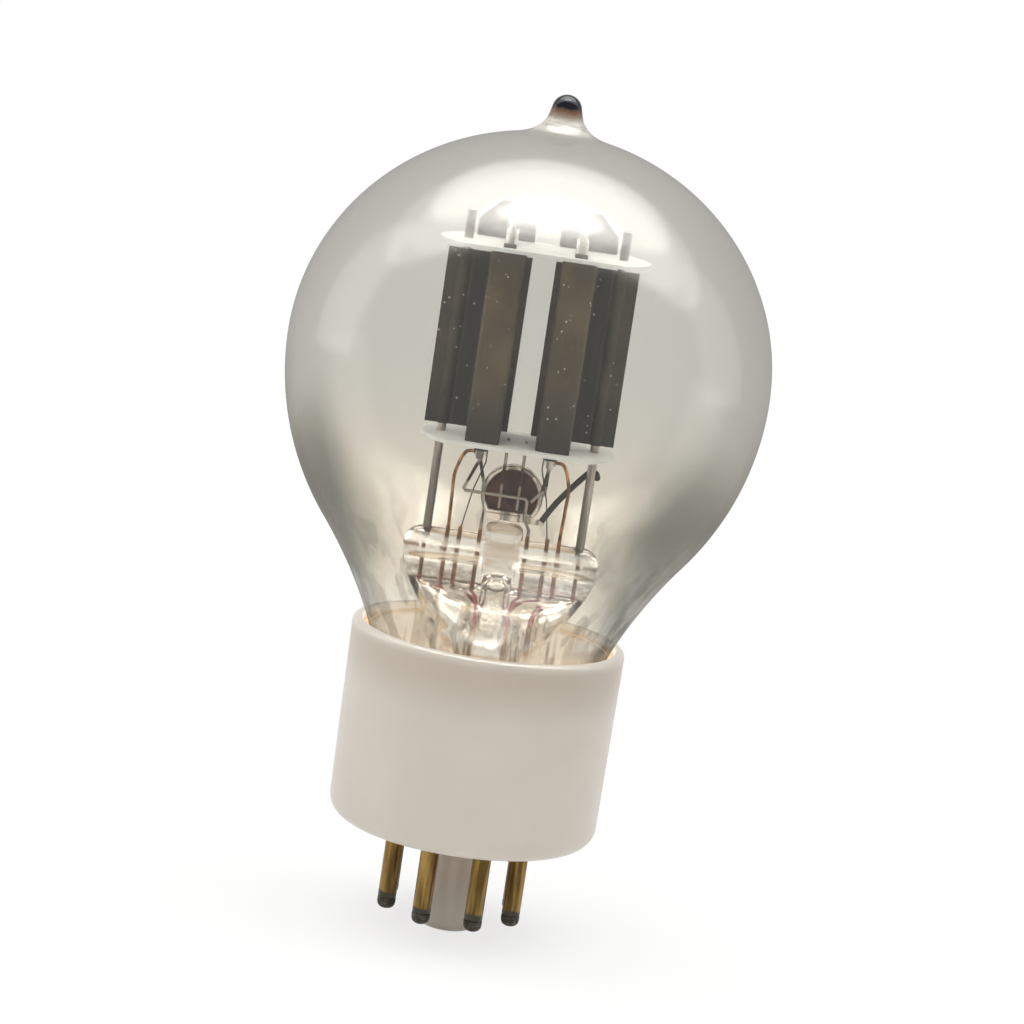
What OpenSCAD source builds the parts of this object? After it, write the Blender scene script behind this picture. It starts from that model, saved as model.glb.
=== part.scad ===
// Twin-triode vacuum tube: globe bulb on an eight-pin ceramic base.
// The seat plane under the base is z = 0 and the tube stands up along +Z.

/* [Base] */
// Outer diameter of the base at its rim
base_d = 35.2; // [33:0.1:40]
// Height of the base from its seat to its rim
base_h = 25.8; // [20:0.1:34]
// Wall of the base at its rim
base_wall = 1.35; // [1.1:0.05:2]
// Thickness of the base floor
base_floor = 3.2; // [2.4:0.1:5]
// Loss of radius from rim to seat
base_draft = 0.25; // [0:0.05:0.6]
// Rounding of the outer rim edge
rim_round = 0.7; // [0.2:0.05:0.8]
// Rounding of the bottom edge
foot_round = 2.4; // [0.6:0.1:4]
// Diameter of the locating spigot
spigot_d = 7.95; // [7.5:0.05:8.2]
// Length of the spigot below the seat
spigot_len = 13.4; // [12:0.1:15]
// Chamfer on the end of the spigot
spigot_chamfer = 0.8; // [0.2:0.1:1.4]
// Diameter of the hollow inside the spigot
spigot_bore_d = 4.6; // [2:0.1:5.4]
// Thickness of the spigot's closed end
spigot_end = 2.4; // [1:0.1:4]
// Width of the key rib on the spigot
key_w = 2.2; // [1.6:0.1:2.6]
// How far the key rib stands out of the spigot
key_out = 1.2; // [0.6:0.1:1.6]
// Depth of the cement below the rim
cement_down = 0.9; // [0.3:0.1:2]
// Height of the cement ring
cement_h = 8; // [3:0.5:12]

/* [Pins] */
// Diameter of the pin circle
pin_pcd = 17.45; // [16.5:0.05:18.5]
// Diameter of a pin
pin_d = 2.36; // [2.1:0.02:2.5]
// Bore of a pin
pin_bore_d = 1.5; // [1.1:0.05:1.7]
// Length of a pin below the seat, with its solder
pin_len = 11.4; // [10:0.1:13]
// Height of the solder dome
solder_h = 1.5; // [1.2:0.1:2.5]
// Length of the solder inside the pin
solder_plug = 1.8; // [0.6:0.1:3]
// Diameter of the collar that holds a pin on the floor
collar_d = 3.2; // [2.8:0.1:4]
// Height of that collar
collar_h = 0.6; // [0.3:0.1:1.2]
// Length of pin above the collar
pin_above = 0.8; // [0.3:0.1:2]

/* [Bulb] */
// Diameter of the globe
globe_d = 61.4; // [54:0.1:70]
// Height of the globe's centre above the rim
neck_len = 34.5; // [30:0.5:44]
// Wall of the bulb
glass_wall = 1; // [0.7:0.05:1.4]
// Gap between neck and base at the rim
neck_gap = 0.45; // [0.3:0.05:1.2]
// Radius of the globe's lower half in profile
shoulder_r = 36; // [30:0.5:40]
// Radius of the hollow curve from globe to neck
hollow_r = 62; // [30:1:120]
// Radius of the curve from that hollow to the straight neck
neck_r_blend = 8; // [4:0.5:12]
// Height of the neck's end above the base floor
neck_end_up = 5.3; // [4:0.1:7]
// Height of the tip above the globe
tip_h = 3.85; // [2:0.05:6]
// Diameter of the tip's dome
tip_d = 3.6; // [2.4:0.1:5]
// Radius over which the tip flares into the globe
tip_flare = 5.4; // [4:0.1:8]
// Width of the tip's waist as a share of its dome
tip_waist = 1.25; // [1.05:0.05:1.5]
// Depth of that waist as a share of the tip's height
tip_waist_down = 0.62; // [0.5:0.02:0.74]

/* [Stem] */
// Outer diameter of the stem tube
stem_d = 16; // [15:0.1:18]
// Wall of the stem
stem_wall = 0.95; // [0.7:0.05:1.2]
// Height of the stem's sealing flange
flange_h = 1; // [0.6:0.1:2]
// Height over which the stem flares out to its flange
flare_h = 6.5; // [4:0.5:9]
// Height above the rim where the stem starts to flatten
fold_rise = 0.8; // [0:0.1:1.5]
// Width of the press
press_w = 25.2; // [23.5:0.1:28]
// Thickness of the press below its bar
press_t = 3.2; // [2.6:0.1:4]
// Height of the hollow inside the fold
fold_hollow = 4.9; // [4.4:0.1:5.4]
// Height of the bar's centre above the rim
bar_rise = 10.25; // [9.5:0.05:13]
// Diameter of the bar along the top of the press
bar_d = 4.6; // [4:0.1:4.8]
// Diameter of the centre column
column_d = 5; // [3:0.1:5.4]
// Height of the column above the bar
column_up = 1.8; // [0.5:0.1:3]
// Diameter of the inner tube
inner_tube_d = 7.7; // [5:0.1:8.2]
// Diameter of the inner tube's dome
inner_dome_d = 3.8; // [2:0.1:4.4]
// Wall of the inner tube
inner_tube_wall = 0.7; // [0.4:0.05:1]
// Glass on each side of the slot under the press
slot_wall = 0.7; // [0.6:0.05:0.95]

/* [Cage] */
// Height of the lower mica above the bar's centre
cage_up = 14.3; // [13:0.1:18]
// Length of the anodes between the micas
anode_len = 24.1; // [18:0.1:26]
// Thickness of a mica
mica_t = 0.45; // [0.3:0.05:0.8]
// Length of the lower mica
lower_mica_l = 24.8; // [24:0.1:28]
// Length of the upper mica
upper_mica_l = 26.6; // [25:0.1:29]
// Depth of both micas
mica_depth = 17.2; // [15:0.1:19]
// Distance of the support rods from the axis
rod_x = 9.85; // [9.2:0.05:10.2]
// Diameter of the support rods
rod_d = 1.15; // [0.8:0.05:1.4]
// Depth to which the rods are sealed in the bar
rod_sunk = 1.6; // [0.8:0.1:2.2]
// Length of the rods above the upper mica
rod_above = 3.6; // [1:0.1:5]
// Distance of the anodes' centres from the axis
anode_x = 4.45; // [4.2:0.05:5]
// Width of an anode box
anode_w = 4.3; // [4:0.05:4.8]
// Depth of the anode boxes, front to back
anode_depth = 13.6; // [13:0.1:15]
// Thickness of the anode sheet
anode_t = 0.25; // [0.15:0.05:0.35]
// Rounding of the anode box's bends
anode_bend = 0.5; // [0.4:0.05:0.8]
// Distance of the wings' outer edges from the axis
wing_x = 12.1; // [11.4:0.1:12.4]
// Gap between the wings and the micas
wing_gap = 0.9; // [0.3:0.1:2]
// Width of the anodes' inner flanges
flange_w = 0.8; // [0.4:0.1:1.2]
// Width of the tabs that hold the micas
tab_w = 1.6; // [1:0.1:2.4]
// Length of those tabs past the mica
tab_out = 0.5; // [0.2:0.1:1]

/* [Electrodes] */
// Width of a cathode sleeve
cathode_w = 1.5; // [1.4:0.05:1.6]
// Depth of a cathode sleeve, front to back
cathode_l = 6.4; // [5:0.1:6.8]
// Wall of a cathode sleeve
cathode_t = 0.2; // [0.1:0.05:0.22]
// Length of the cathodes below and above the micas
cathode_out = 1.7; // [1.2:0.1:2.2]
// Diameter of the heater strands
heater_d = 0.9; // [0.5:0.05:0.95]
// Distance between a heater's two strands
heater_pitch = 3; // [2:0.1:3.6]
// Distance of the grid rods in front of and behind the cathode
grid_rod_y = 4.9; // [4.6:0.05:5.2]
// Diameter of the grid rods
grid_rod_d = 0.9; // [0.6:0.05:1]
// Length of the grid rods above the upper mica
grid_rod_above = 4.2; // [1:0.1:5]
// Length of the grid rods below the lower mica
grid_rod_below = 1.8; // [1:0.1:2.4]
// Half width of the grid winding
grid_half_w = 1.25; // [1.2:0.05:1.4]
// Diameter of the grid wire
grid_wire_d = 0.3; // [0.2:0.05:0.35]
// Turns in each grid winding
grid_turns = 18; // [8:1:22]
// Plain length at each end of a grid winding
grid_plain = 1; // [0.6:0.1:3]
// Height of the grid fins
fin_h = 4.8; // [3:0.1:6]
// Thickness of the grid fins
fin_t = 0.2; // [0.1:0.05:0.4]
// Distance of the fins' inner edges from the axis
fin_in = 1.6; // [1:0.1:3]
// Gap between a fin and its support rod
fin_rod_gap = 0.3; // [0.2:0.1:1]
// Chamfer on the fins' outer top corners
fin_chamfer = 2.6; // [0.5:0.1:3.4]

/* [Getter] */
// Distance of the getter's centre from the axis
getter_x = 0.3; // [0:0.1:0.5]
// Height of the getter's centre above the bar's centre
getter_up = 7.7; // [7.2:0.1:9]
// Diameter of the getter cup
getter_d = 7.9; // [6:0.1:8.2]
// Depth of the getter cup
getter_depth = 2.5; // [1.2:0.1:3]
// Wall of the getter cup
getter_wall = 0.45; // [0.2:0.05:0.7]
// Height of the cup's flat foot below its centre
getter_foot = 2.5; // [1.5:0.1:3.4]
// Depth of the fill's edge as a share of the cup
fill_edge = 0.55; // [0.3:0.05:0.75]
// Depth of the fill's middle as a share of the cup
fill_middle = 0.8; // [0.5:0.05:0.9]
// Height of the strip under the cup
strip_h = 0.75; // [0.4:0.05:1.2]
// Thickness of the strip and of the strap
strip_t = 0.2; // [0.1:0.05:0.3]
// Reach of the strip to the left of the cup's centre
strip_left = 2.7; // [1.5:0.1:3.5]
// Reach of the strip to the right of the cup's centre
strip_right = 4.6; // [4:0.1:5.2]
// Width of the strap from the strip to the rod
strap_w = 0.95; // [0.5:0.05:1.4]
// Height of the strap's upper end below the lower mica
strap_down = 2.4; // [1.5:0.1:4]
// Distance of the getter posts from the axis
post_x = 1.15; // [0.8:0.05:1.4]
// Diameter of the getter posts
post_d = 0.4; // [0.3:0.05:0.6]
// Length of the getter posts above the lower mica
post_out = 0.3; // [0.1:0.1:1]

/* [Leads] */
// Distance of the inner press leads from the axis
inner_lead_x = 3.05; // [2.95:0.05:3.4]
// Distance of the cathode leads from the axis
cathode_lead_x = 5.6; // [5:0.05:5.9]
// Distance of the grid leads from the axis
grid_lead_x = 7.15; // [6.8:0.05:7.6]
// Diameter of the press leads
lead_d = 0.55; // [0.3:0.05:0.6]
// Length of the leads above the bar
lead_above = 0.5; // [0.2:0.1:1]
// Radius of the ring in which the leads rise through the stem
lead_ring_r = 5.45; // [5.2:0.05:6]
// Diameter of the heater and grid wires
wire_d = 0.45; // [0.3:0.05:0.5]
// Height of the heater bus above the bar's centre
bus_up = 7.85; // [7:0.05:9]
// Distance of the heater bus in front of the axis
bus_y = 2.2; // [1.8:0.1:3]
// Reach of the front heater bus to the left
bus_left = 5.9; // [5:0.1:6.2]
// Reach of the front heater bus to the right
bus_right = 2.3; // [1.8:0.1:2.8]
// Width of the cathode links
link_w = 1; // [0.6:0.1:1.4]
// Thickness of the cathode links
link_t = 0.15; // [0.1:0.05:0.25]
// Lap of a cathode link on its sleeve
link_lap = 1.1; // [0.6:0.1:1.2]
// Gap between a cathode link and the getter cup
link_clear = 0.55; // [0.4:0.05:0.8]

/* [Hidden] */
$fn = 64;

// Clearance of sealed, pressed and welded fits
seat = 0.03;
// Overshoot of a cut past the face that it opens
cut = 1;
// Points in a profile's arcs
arc_steps = 14;
// Sides of round wires
wire_sides = 6;

// Number of contact pins, one for each press lead
pin_count = 8;
sides = ["left", "right"];
faces = ["front", "rear"];
pin_numbers = [for (i = [1 : pin_count]) i];

// Heights, each counted from the piece that carries the next
rim_z = base_h;
neck_end_z = base_floor + neck_end_up;
globe_z = rim_z + neck_len;
fold_z = rim_z + fold_rise;
bar_z = rim_z + bar_rise;
bar_top_z = bar_z + bar_d / 2;
hollow_top_z = fold_z + fold_hollow;
lead_top_z = bar_top_z + lead_above;
lower_mica_z = bar_z + cage_up;
anode_z = lower_mica_z + mica_t + seat;
anode_top_z = anode_z + anode_len;
upper_mica_z = anode_top_z + seat;
cage_top_z = upper_mica_z + mica_t;
getter_z = bar_z + getter_up;
foot_z = getter_z - getter_foot;
bus_z = bar_z + bus_up;
cathode_z = lower_mica_z - cathode_out;
rod_end_z = bar_top_z - rod_sunk;
// Rounding of the column's top
column_edge = 1;
// Height of the inner tube's shoulder as a share of the fold's hollow
inner_shoulder = 0.04;
// Centre of the inner tube's dome
dome_z = bar_z - bar_d / 2 - inner_dome_d / 2;

// Radii of the base and of the neck inside it
base_r = base_d / 2;
foot_r = base_r - base_draft;
cavity_r = base_r - base_wall;
rim_neck_r = cavity_r - neck_gap;

// Profile of the bulb: globe, lower shoulder, hollow and neck are arcs that meet in line
globe_r = globe_d / 2;
neck_inset = globe_r - rim_neck_r;
shoulder_share = 0.9;
shoulder_limit = (neck_inset * neck_inset + neck_len * neck_len) / (2 * neck_inset);
low_r = min(shoulder_r, shoulder_share * shoulder_limit);
low_c = [globe_r - low_r, globe_z];
rim_p = [rim_neck_r, rim_z];
low_to_rim = rim_p - low_c;
low_dist = norm(low_to_rim);
reach = low_r + hollow_r;
along = (low_dist * low_dist + reach * reach - hollow_r * hollow_r) / (2 * low_dist);
across = sqrt(reach * reach - along * along);
low_dir = low_to_rim / low_dist;
hollow_c = low_c + along * low_dir + across * [-low_dir.y, low_dir.x];
shoulder_angle = atan2(low_c.y - hollow_c.y, hollow_c.x - low_c.x);
rim_angle = atan2(rim_p.y - hollow_c.y, hollow_c.x - rim_p.x);
neck_r = rim_neck_r - neck_r_blend * (1 - cos(rim_angle));
neck_c = [neck_r + neck_r_blend, rim_z - neck_r_blend * sin(rim_angle)];
tip_angle = acos(tip_flare / globe_r);
tip_z = globe_z + globe_r + tip_h;
// Depth of the flare's inner end below the top of the globe, and its width as a share of the dome
tip_sink = 0.25;
tip_foot = 1.6;
// Angle of the dome at which the straight side of the tip ends
tip_side_angle = 8;

// Places of the leads: the order across the press, and the pin that each goes to
lead_x = [
    -rod_x, -grid_lead_x, -cathode_lead_x, -inner_lead_x,
    inner_lead_x, cathode_lead_x, grid_lead_x, rod_x
];
pin_step = 360 / pin_count;
lead_angle = pin_step * [3.5, 4.5, 2.5, 5.5, 6.5, 1.5, 7.5, 0.5];
// Straight length of a lead above its pin and below the press
lead_straight = 1.5;
lead_entry = 0.6;
// Shares of the way out to its place and of the ring's depth that a lead has halfway up the fold
lead_spread = 0.18;
lead_gather = 0.2;
pin_top_z = base_floor + collar_h + pin_above;
solder_top_z = solder_h + solder_plug - pin_len;

// Grid winding: caps of grid_half_w round the rods, joined by straight sides
cap_y = grid_rod_y + grid_rod_d / 2 + seat + grid_wire_d / 2 - grid_half_w;
cap_steps = 6;
grid_pitch = (anode_len - 2 * grid_plain) / grid_turns;
fin_y = grid_rod_y + grid_rod_d / 2 + seat;
getter_y = -rod_d / 2 - seat;
fin_gap = 0.1;

ceramic = "#f1ece3";
glass = [0.85, 0.88, 0.88, 0.35];
nickel = "#a9a39a";
carbon = "#4a463f";
copper = "#b5774a";
brass = "#a98338";

function side_sign(s) = s == "left" ? -1 : 1;
function face_sign(f) = f == "front" ? -1 : 1;
function unit(v) = v / norm(v);

// Points of an arc about c, from angle a to angle b
function arc(c, r, a, b, steps = arc_steps) =
    [for (i = [0 : steps]) let (t = a + (b - a) * i / steps) c + r * [cos(t), sin(t)]];

// Curve from a to c that leaves and arrives along the lines to b
function bend(a, b, c, steps = arc_steps) =
    [for (i = [0 : steps]) let (t = i / steps) (1 - t) * (1 - t) * a + 2 * t * (1 - t) * b + t * t * c];

// Outside of the bulb from the end of its neck up to the tip's flare, shrunk inwards by depth
function neck_side(depth) = concat(
    [[neck_r - depth, neck_end_z]],
    arc(neck_c, neck_r_blend + depth, 180, 180 - rim_angle, 5)
);
function globe_side(depth) = concat(
    arc(hollow_c, hollow_r + depth, 180 - rim_angle, 180 - shoulder_angle, 8),
    arc(low_c, low_r - depth, -shoulder_angle, 0)
);

// Smooth curve through the points p, with n steps between two of them
function between(a, b, c, d, t) =
    b + t / 2 * ((c - a) + t * ((2 * a - 5 * b + 4 * c - d) + t * (3 * b - a - 3 * c + d)));
function smooth(p, n = 3) = concat(
    [for (i = [0 : len(p) - 2], k = [0 : n - 1])
        between(p[max(i - 1, 0)], p[i], p[i + 1], p[min(i + 2, len(p) - 1)], k / n)],
    [p[len(p) - 1]]
);

// Round wire of diameter d along a path, with no stretch of it along the direction across
module wire(path, d, across = [0.3, 0.95, 0.1], sides = wire_sides) {
    last = len(path) - 1;
    run = [for (i = [0 : last]) unit(path[min(i + 1, last)] - path[max(i - 1, 0)])];
    u = [for (t = run) unit(cross(t, across))];
    v = [for (i = [0 : last]) cross(run[i], u[i])];
    points = [
        for (i = [0 : last], k = [0 : sides - 1])
            let (a = 360 * k / sides) path[i] + d / 2 * (cos(a) * u[i] + sin(a) * v[i])
    ];
    walls = [
        for (i = [0 : last - 1], k = [0 : sides - 1], half = [0, 1])
            let (a = i * sides + k, b = i * sides + (k + 1) % sides)
            half == 0 ? [a, a + sides, b + sides] : [a, b + sides, b]
    ];
    start = [for (k = [1 : sides - 2]) [0, k, k + 1]];
    end = [for (k = [1 : sides - 2]) last * sides * [1, 1, 1] + [0, k + 1, k]];
    polyhedron(points, concat(walls, start, end));
}

// Slot with round ends, w across and l from front to back
module slot(w, l) {
    square([w, l - w], center = true);
    for (s = [-1, 1])
        translate([0, s * (l - w) / 2]) circle(d = w);
}

// Rectangle with round corners
module round_rect(w, l, r) {
    square([w - 2 * r, l], center = true);
    square([w, l - 2 * r], center = true);
    for (x = [-1, 1], y = [-1, 1])
        translate([x * (w / 2 - r), y * (l / 2 - r)]) circle(r);
}

// Stands an outline, drawn in x and z, up and gives it thickness t about y
module upright(t, y = 0) {
    translate([0, y + t / 2, 0]) rotate([90, 0, 0]) linear_extrude(t) children();
}

module at_pins() {
    for (i = [0 : pin_count - 1])
        rotate(pin_step * (i + 0.5)) translate([pin_pcd / 2, 0, 0]) children();
}

module base_shell() {
    spigot_r = spigot_d / 2;
    outside = concat(
        [[0, -spigot_len], [spigot_r - spigot_chamfer, -spigot_len]],
        [[spigot_r, spigot_chamfer - spigot_len], [spigot_r, 0]],
        arc([foot_r - foot_round, foot_round], foot_round, -90, 0),
        arc([base_r - rim_round, base_h - rim_round], rim_round, 0, 90, 6),
        [[cavity_r, base_h], [cavity_r, base_floor], [0, base_floor]]
    );
    color(ceramic) difference() {
        union() {
            rotate_extrude() polygon(outside);
            translate([-key_w / 2, 0, spigot_chamfer - spigot_len])
                cube([key_w, spigot_r + key_out, spigot_len - spigot_chamfer]);
        }
        at_pins() translate([0, 0, -cut])
            cylinder(d = pin_d + 2 * seat, h = base_floor + 2 * cut);
        translate([0, 0, spigot_end - spigot_len])
            cylinder(d = spigot_bore_d, h = spigot_len + base_floor);
    }
}

module base_cement() {
    top = rim_z - cement_down;
    color("#c9a36b") difference() {
        translate([0, 0, top - cement_h]) cylinder(r = cavity_r - seat, h = cement_h);
        rotate_extrude() polygon(concat(
            [[0, neck_end_z]],
            neck_side(-seat),
            [[rim_neck_r + seat, rim_z + cut], [0, rim_z + cut]]
        ));
    }
}

module contact_pin(i) {
    foot = solder_h - pin_len;
    color(brass) rotate(pin_step * (i - 0.5)) translate([pin_pcd / 2, 0, 0]) difference() {
        union() {
            translate([0, 0, foot]) cylinder(d = pin_d, h = pin_top_z - foot);
            translate([0, 0, base_floor + seat]) cylinder(d = collar_d, h = collar_h);
        }
        translate([0, 0, foot - cut]) cylinder(d = pin_bore_d, h = pin_top_z - foot + 2 * cut);
    }
}

module solder_tips() {
    r = pin_d / 2;
    plug_r = pin_bore_d / 2 - seat;
    dome = concat(
        [for (i = [0 : arc_steps]) let (a = 90 * i / arc_steps) [r * sin(a), -pin_len + r * (1 - cos(a))]],
        [[r, solder_h - pin_len], [plug_r, solder_h - pin_len]],
        [[plug_r, solder_top_z], [0, solder_top_z]]
    );
    color("#5b5a55") at_pins() rotate_extrude() polygon(dome);
}

module bulb() {
    tip_r = tip_d / 2;
    dome_c = [0, tip_z - tip_r];
    flare = globe_r * [cos(tip_angle), sin(tip_angle)] + [0, globe_z];
    waist = [tip_waist * tip_r, tip_z - tip_waist_down * (tip_h + tip_r)];
    foot = [tip_foot * tip_r, globe_z + globe_r - tip_sink];
    outside = concat(
        neck_side(0),
        globe_side(0),
        arc([0, globe_z], globe_r, 0, tip_angle, 2 * arc_steps),
        bend(flare, foot, waist, 8),
        arc(dome_c, tip_r, tip_side_angle, 90, 8)
    );
    inside = concat(
        neck_side(glass_wall),
        globe_side(glass_wall),
        arc([0, globe_z], globe_r - glass_wall, 0, 90, 2 * arc_steps)
    );
    flipped = [for (i = [len(inside) - 1 : -1 : 0]) inside[i]];
    color(glass) rotate_extrude() polygon(concat(outside, flipped));
}

// Front outline of the fold and press, from the tube's width out to the bar's
function press_half(z) =
    let (t = (z - fold_z) / (bar_z - fold_z)) stem_d / 2 + (press_w / 2 - stem_d / 2) * sin(90 * t);
// Side outline of the fold, from the tube's depth down to the press
function fold_half(z, wall) =
    let (t = min(1, (z - fold_z) / fold_hollow))
    press_t / 2 - wall + (stem_d / 2 - press_t / 2) * (1 - t * t * (3 - 2 * t));

module press_outline(top, wall) {
    levels = [for (i = [0 : arc_steps]) fold_z + (top - fold_z) * i / arc_steps];
    polygon(concat(
        [for (z = levels) [press_half(z) - wall, z]],
        [for (i = [arc_steps : -1 : 0]) [wall - press_half(levels[i]), levels[i]]]
    ));
}

module fold(top, wall) {
    levels = [for (i = [0 : arc_steps]) fold_z + (top - fold_z) * i / arc_steps];
    intersection() {
        translate([0, 0, fold_z]) cylinder(d = stem_d - 2 * wall, h = top - fold_z);
        rotate(90) upright(stem_d) polygon(concat(
            [for (z = levels) [fold_half(z, wall), z]],
            [for (i = [arc_steps : -1 : 0]) [-fold_half(levels[i], wall), levels[i]]]
        ));
    }
}

module stem() {
    flange_z = neck_end_z - flange_h;
    outer_r = stem_d / 2;
    inner_r = outer_r - stem_wall;
    flare_top = neck_end_z + flare_h;
    lip_r = neck_r - glass_wall - stem_wall;
    flare_in = bend([lip_r - stem_wall, flange_z], [inner_r, flange_z], [inner_r, flare_top], 8);
    flare_out = bend([lip_r, neck_end_z], [outer_r, neck_end_z], [outer_r, flare_top], 8);
    flipped = [for (i = [len(flare_in) - 1 : -1 : 0]) flare_in[i]];
    dome_r = inner_dome_d / 2 + seat;
    bar_r = bar_d / 2;
    bar_end = press_w / 2;
    column_r = column_d / 2;
    column_top = bar_top_z + column_up;
    column_round = min(column_edge, column_up);
    color(glass) difference() {
        union() {
            rotate_extrude() polygon(concat(
                [[neck_r, flange_z], [neck_r, neck_end_z]],
                flare_out,
                [[outer_r, fold_z], [inner_r, fold_z]],
                flipped
            ));
            difference() {
                union() {
                    fold(hollow_top_z + stem_wall, 0);
                    upright(press_t) press_outline(bar_z, 0);
                }
                translate([0, 0, -seat]) fold(hollow_top_z, stem_wall);
                translate([0, 0, -seat]) upright(press_t - 2 * slot_wall)
                    press_outline(hollow_top_z, slot_wall);
            }
            translate([0, 0, bar_z]) rotate([0, 90, 0]) rotate_extrude() polygon(concat(
                arc([0, bar_end - bar_r], bar_r, 90, 0, 8),
                arc([0, bar_r - bar_end], bar_r, 0, -90, 8)
            ));
            rotate_extrude() polygon(concat(
                [[0, hollow_top_z]],
                [[column_r, hollow_top_z]],
                arc([column_r - column_round, column_top - column_round], column_round, 0, 90, 5),
                [[0, column_top]]
            ));
        }
        rotate_extrude() polygon(concat(
            [[0, fold_z], [dome_r, fold_z]],
            arc([0, dome_z], dome_r, 0, 90, 8)
        ));
        for (x = lead_x)
            translate([x, 0, hollow_top_z - cut]) cylinder(d = lead_d + 2 * seat, h = bar_d + 2 * bar_rise);
        for (s = [-1, 1])
            translate([s * rod_x, 0, rod_end_z]) cylinder(d = rod_d + 2 * seat, h = bar_d);
    }
}

module stem_tubulation() {
    r = inner_tube_d / 2;
    top_r = inner_dome_d / 2;
    low = neck_end_z + flare_h / 2;
    neck = fold_z + inner_shoulder * fold_hollow;
    outside = concat(
        [[r, low]],
        bend([r, fold_z], [r, neck], [top_r, neck + r - top_r], 6),
        arc([0, dome_z], top_r, 0, 90)
    );
    inside = concat(
        [[r - inner_tube_wall, low]],
        bend(
            [r - inner_tube_wall, fold_z], [r - inner_tube_wall, neck],
            [top_r - inner_tube_wall, neck + r - top_r], 6
        ),
        arc([0, dome_z], top_r - inner_tube_wall, 0, 90)
    );
    flipped = [for (i = [len(inside) - 1 : -1 : 0]) inside[i]];
    color(glass) rotate_extrude() polygon(concat(outside, flipped));
}

// Route of a press lead: up out of its pin, through the stem in a ring, into the press
function lead_route(i) =
    let (
        a = lead_angle[i],
        pin = pin_pcd / 2 * [cos(a), sin(a)],
        ring = lead_ring_r * [cos(a), sin(a)],
        x = lead_x[i],
        half_z = fold_z + fold_hollow / 2,
        top = abs(x) == rod_x ? rod_end_z - seat : lead_top_z
    )
    concat(
        smooth([
            [pin.x, pin.y, solder_top_z + seat],
            [pin.x, pin.y, pin_top_z],
            [pin.x, pin.y, pin_top_z + lead_straight],
            [ring.x, ring.y, neck_end_z + flare_h],
            [ring.x, ring.y, fold_z - cut],
            [ring.x + lead_spread * (x - ring.x), lead_gather * ring.y, half_z],
            [x, 0, hollow_top_z - lead_entry],
            [x, 0, hollow_top_z - lead_entry / 2],
            [x, 0, hollow_top_z - seat]
        ]),
        [[x, 0, top]]
    );

module press_lead(i) {
    color(copper) wire(lead_route(i - 1), lead_d);
}

module mica(length, z) {
    color("#e9e9e6") translate([0, 0, z]) linear_extrude(mica_t) difference() {
        intersection() {
            circle(d = length);
            square([length, mica_depth], center = true);
        }
        for (s = [-1, 1]) {
            translate([s * rod_x, 0]) circle(d = rod_d + 2 * seat);
            translate([s * anode_x, 0]) {
                slot(cathode_w + 2 * seat, cathode_l + 2 * seat);
                for (f = [-1, 1]) {
                    translate([0, f * grid_rod_y]) circle(d = grid_rod_d + 2 * seat);
                    translate([0, f * (anode_depth - anode_t) / 2])
                        square([tab_w, anode_t] + 2 * seat * [1, 1], center = true);
                }
            }
            translate([s * post_x, getter_post_y()]) circle(d = post_d + 2 * seat);
        }
    }
}

module lower_mica() {
    mica(lower_mica_l, lower_mica_z);
}

module upper_mica() {
    mica(upper_mica_l, upper_mica_z);
}

module support_rod(s) {
    color(nickel) translate([side_sign(s) * rod_x, 0, rod_end_z])
        cylinder(d = rod_d, h = cage_top_z + rod_above - rod_end_z);
}

// Section of an anode half in x and y: box from the middle plane forwards
module box_section() {
    difference() {
        translate([anode_x, 0]) round_rect(anode_w, anode_depth, anode_bend);
        translate([anode_x, 0])
            round_rect(anode_w - 2 * anode_t, anode_depth - 2 * anode_t, anode_bend - anode_t);
        square([2 * wing_x, anode_depth]);
    }
}

// Section of its wings: the inner flange, and the outer wing with its half-round seat for the rod
module wing_section() {
    crimp_r = rod_d / 2 + seat;
    box_in = anode_x - anode_w / 2;
    box_out = anode_x + anode_w / 2;
    translate([box_in - flange_w, -anode_t]) square([flange_w + anode_t, anode_t]);
    difference() {
        union() {
            translate([box_out - anode_t, -anode_t]) square([wing_x - box_out + anode_t, anode_t]);
            translate([rod_x, 0]) circle(crimp_r + anode_t);
        }
        translate([rod_x, 0]) circle(crimp_r);
        square([2 * wing_x, anode_depth]);
    }
}

module anode(s, f) {
    turn = [side_sign(s) < 0 ? 1 : 0, 0, 0];
    tab_h = mica_t + 2 * seat + tab_out;
    color(carbon) mirror(turn) mirror([0, face_sign(f) > 0 ? 1 : 0, 0]) {
        translate([0, 0, anode_z]) linear_extrude(anode_len) box_section();
        translate([0, 0, anode_z + wing_gap]) linear_extrude(anode_len - 2 * wing_gap) wing_section();
        for (z = [anode_z - tab_h, anode_top_z])
            translate([anode_x - tab_w / 2, -anode_depth / 2, z]) cube([tab_w, anode_t, tab_h]);
    }
}

module cathode(s) {
    top = cage_top_z + cathode_out;
    color("#b7b2a8") translate([side_sign(s) * anode_x, 0, cathode_z])
        linear_extrude(top - cathode_z) difference() {
            slot(cathode_w, cathode_l);
            slot(cathode_w - 2 * cathode_t, cathode_l - 2 * cathode_t);
        }
}

module heater(s) {
    bend_z = cage_top_z - heater_pitch / 2;
    color("#dedbd2") translate([side_sign(s) * anode_x, 0, 0]) {
        for (f = [-1, 1])
            translate([0, f * heater_pitch / 2, cathode_z]) cylinder(d = heater_d, h = bend_z - cathode_z);
        translate([0, 0, bend_z]) rotate([90, 0, 90])
            rotate_extrude(angle = 180) translate([heater_pitch / 2, 0]) circle(d = heater_d);
    }
}

module grid_rods(s) {
    low = lower_mica_z - grid_rod_below;
    color(copper) for (f = [-1, 1])
        translate([side_sign(s) * anode_x, f * grid_rod_y, low])
            cylinder(d = grid_rod_d, h = cage_top_z + grid_rod_above - low);
}

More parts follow.
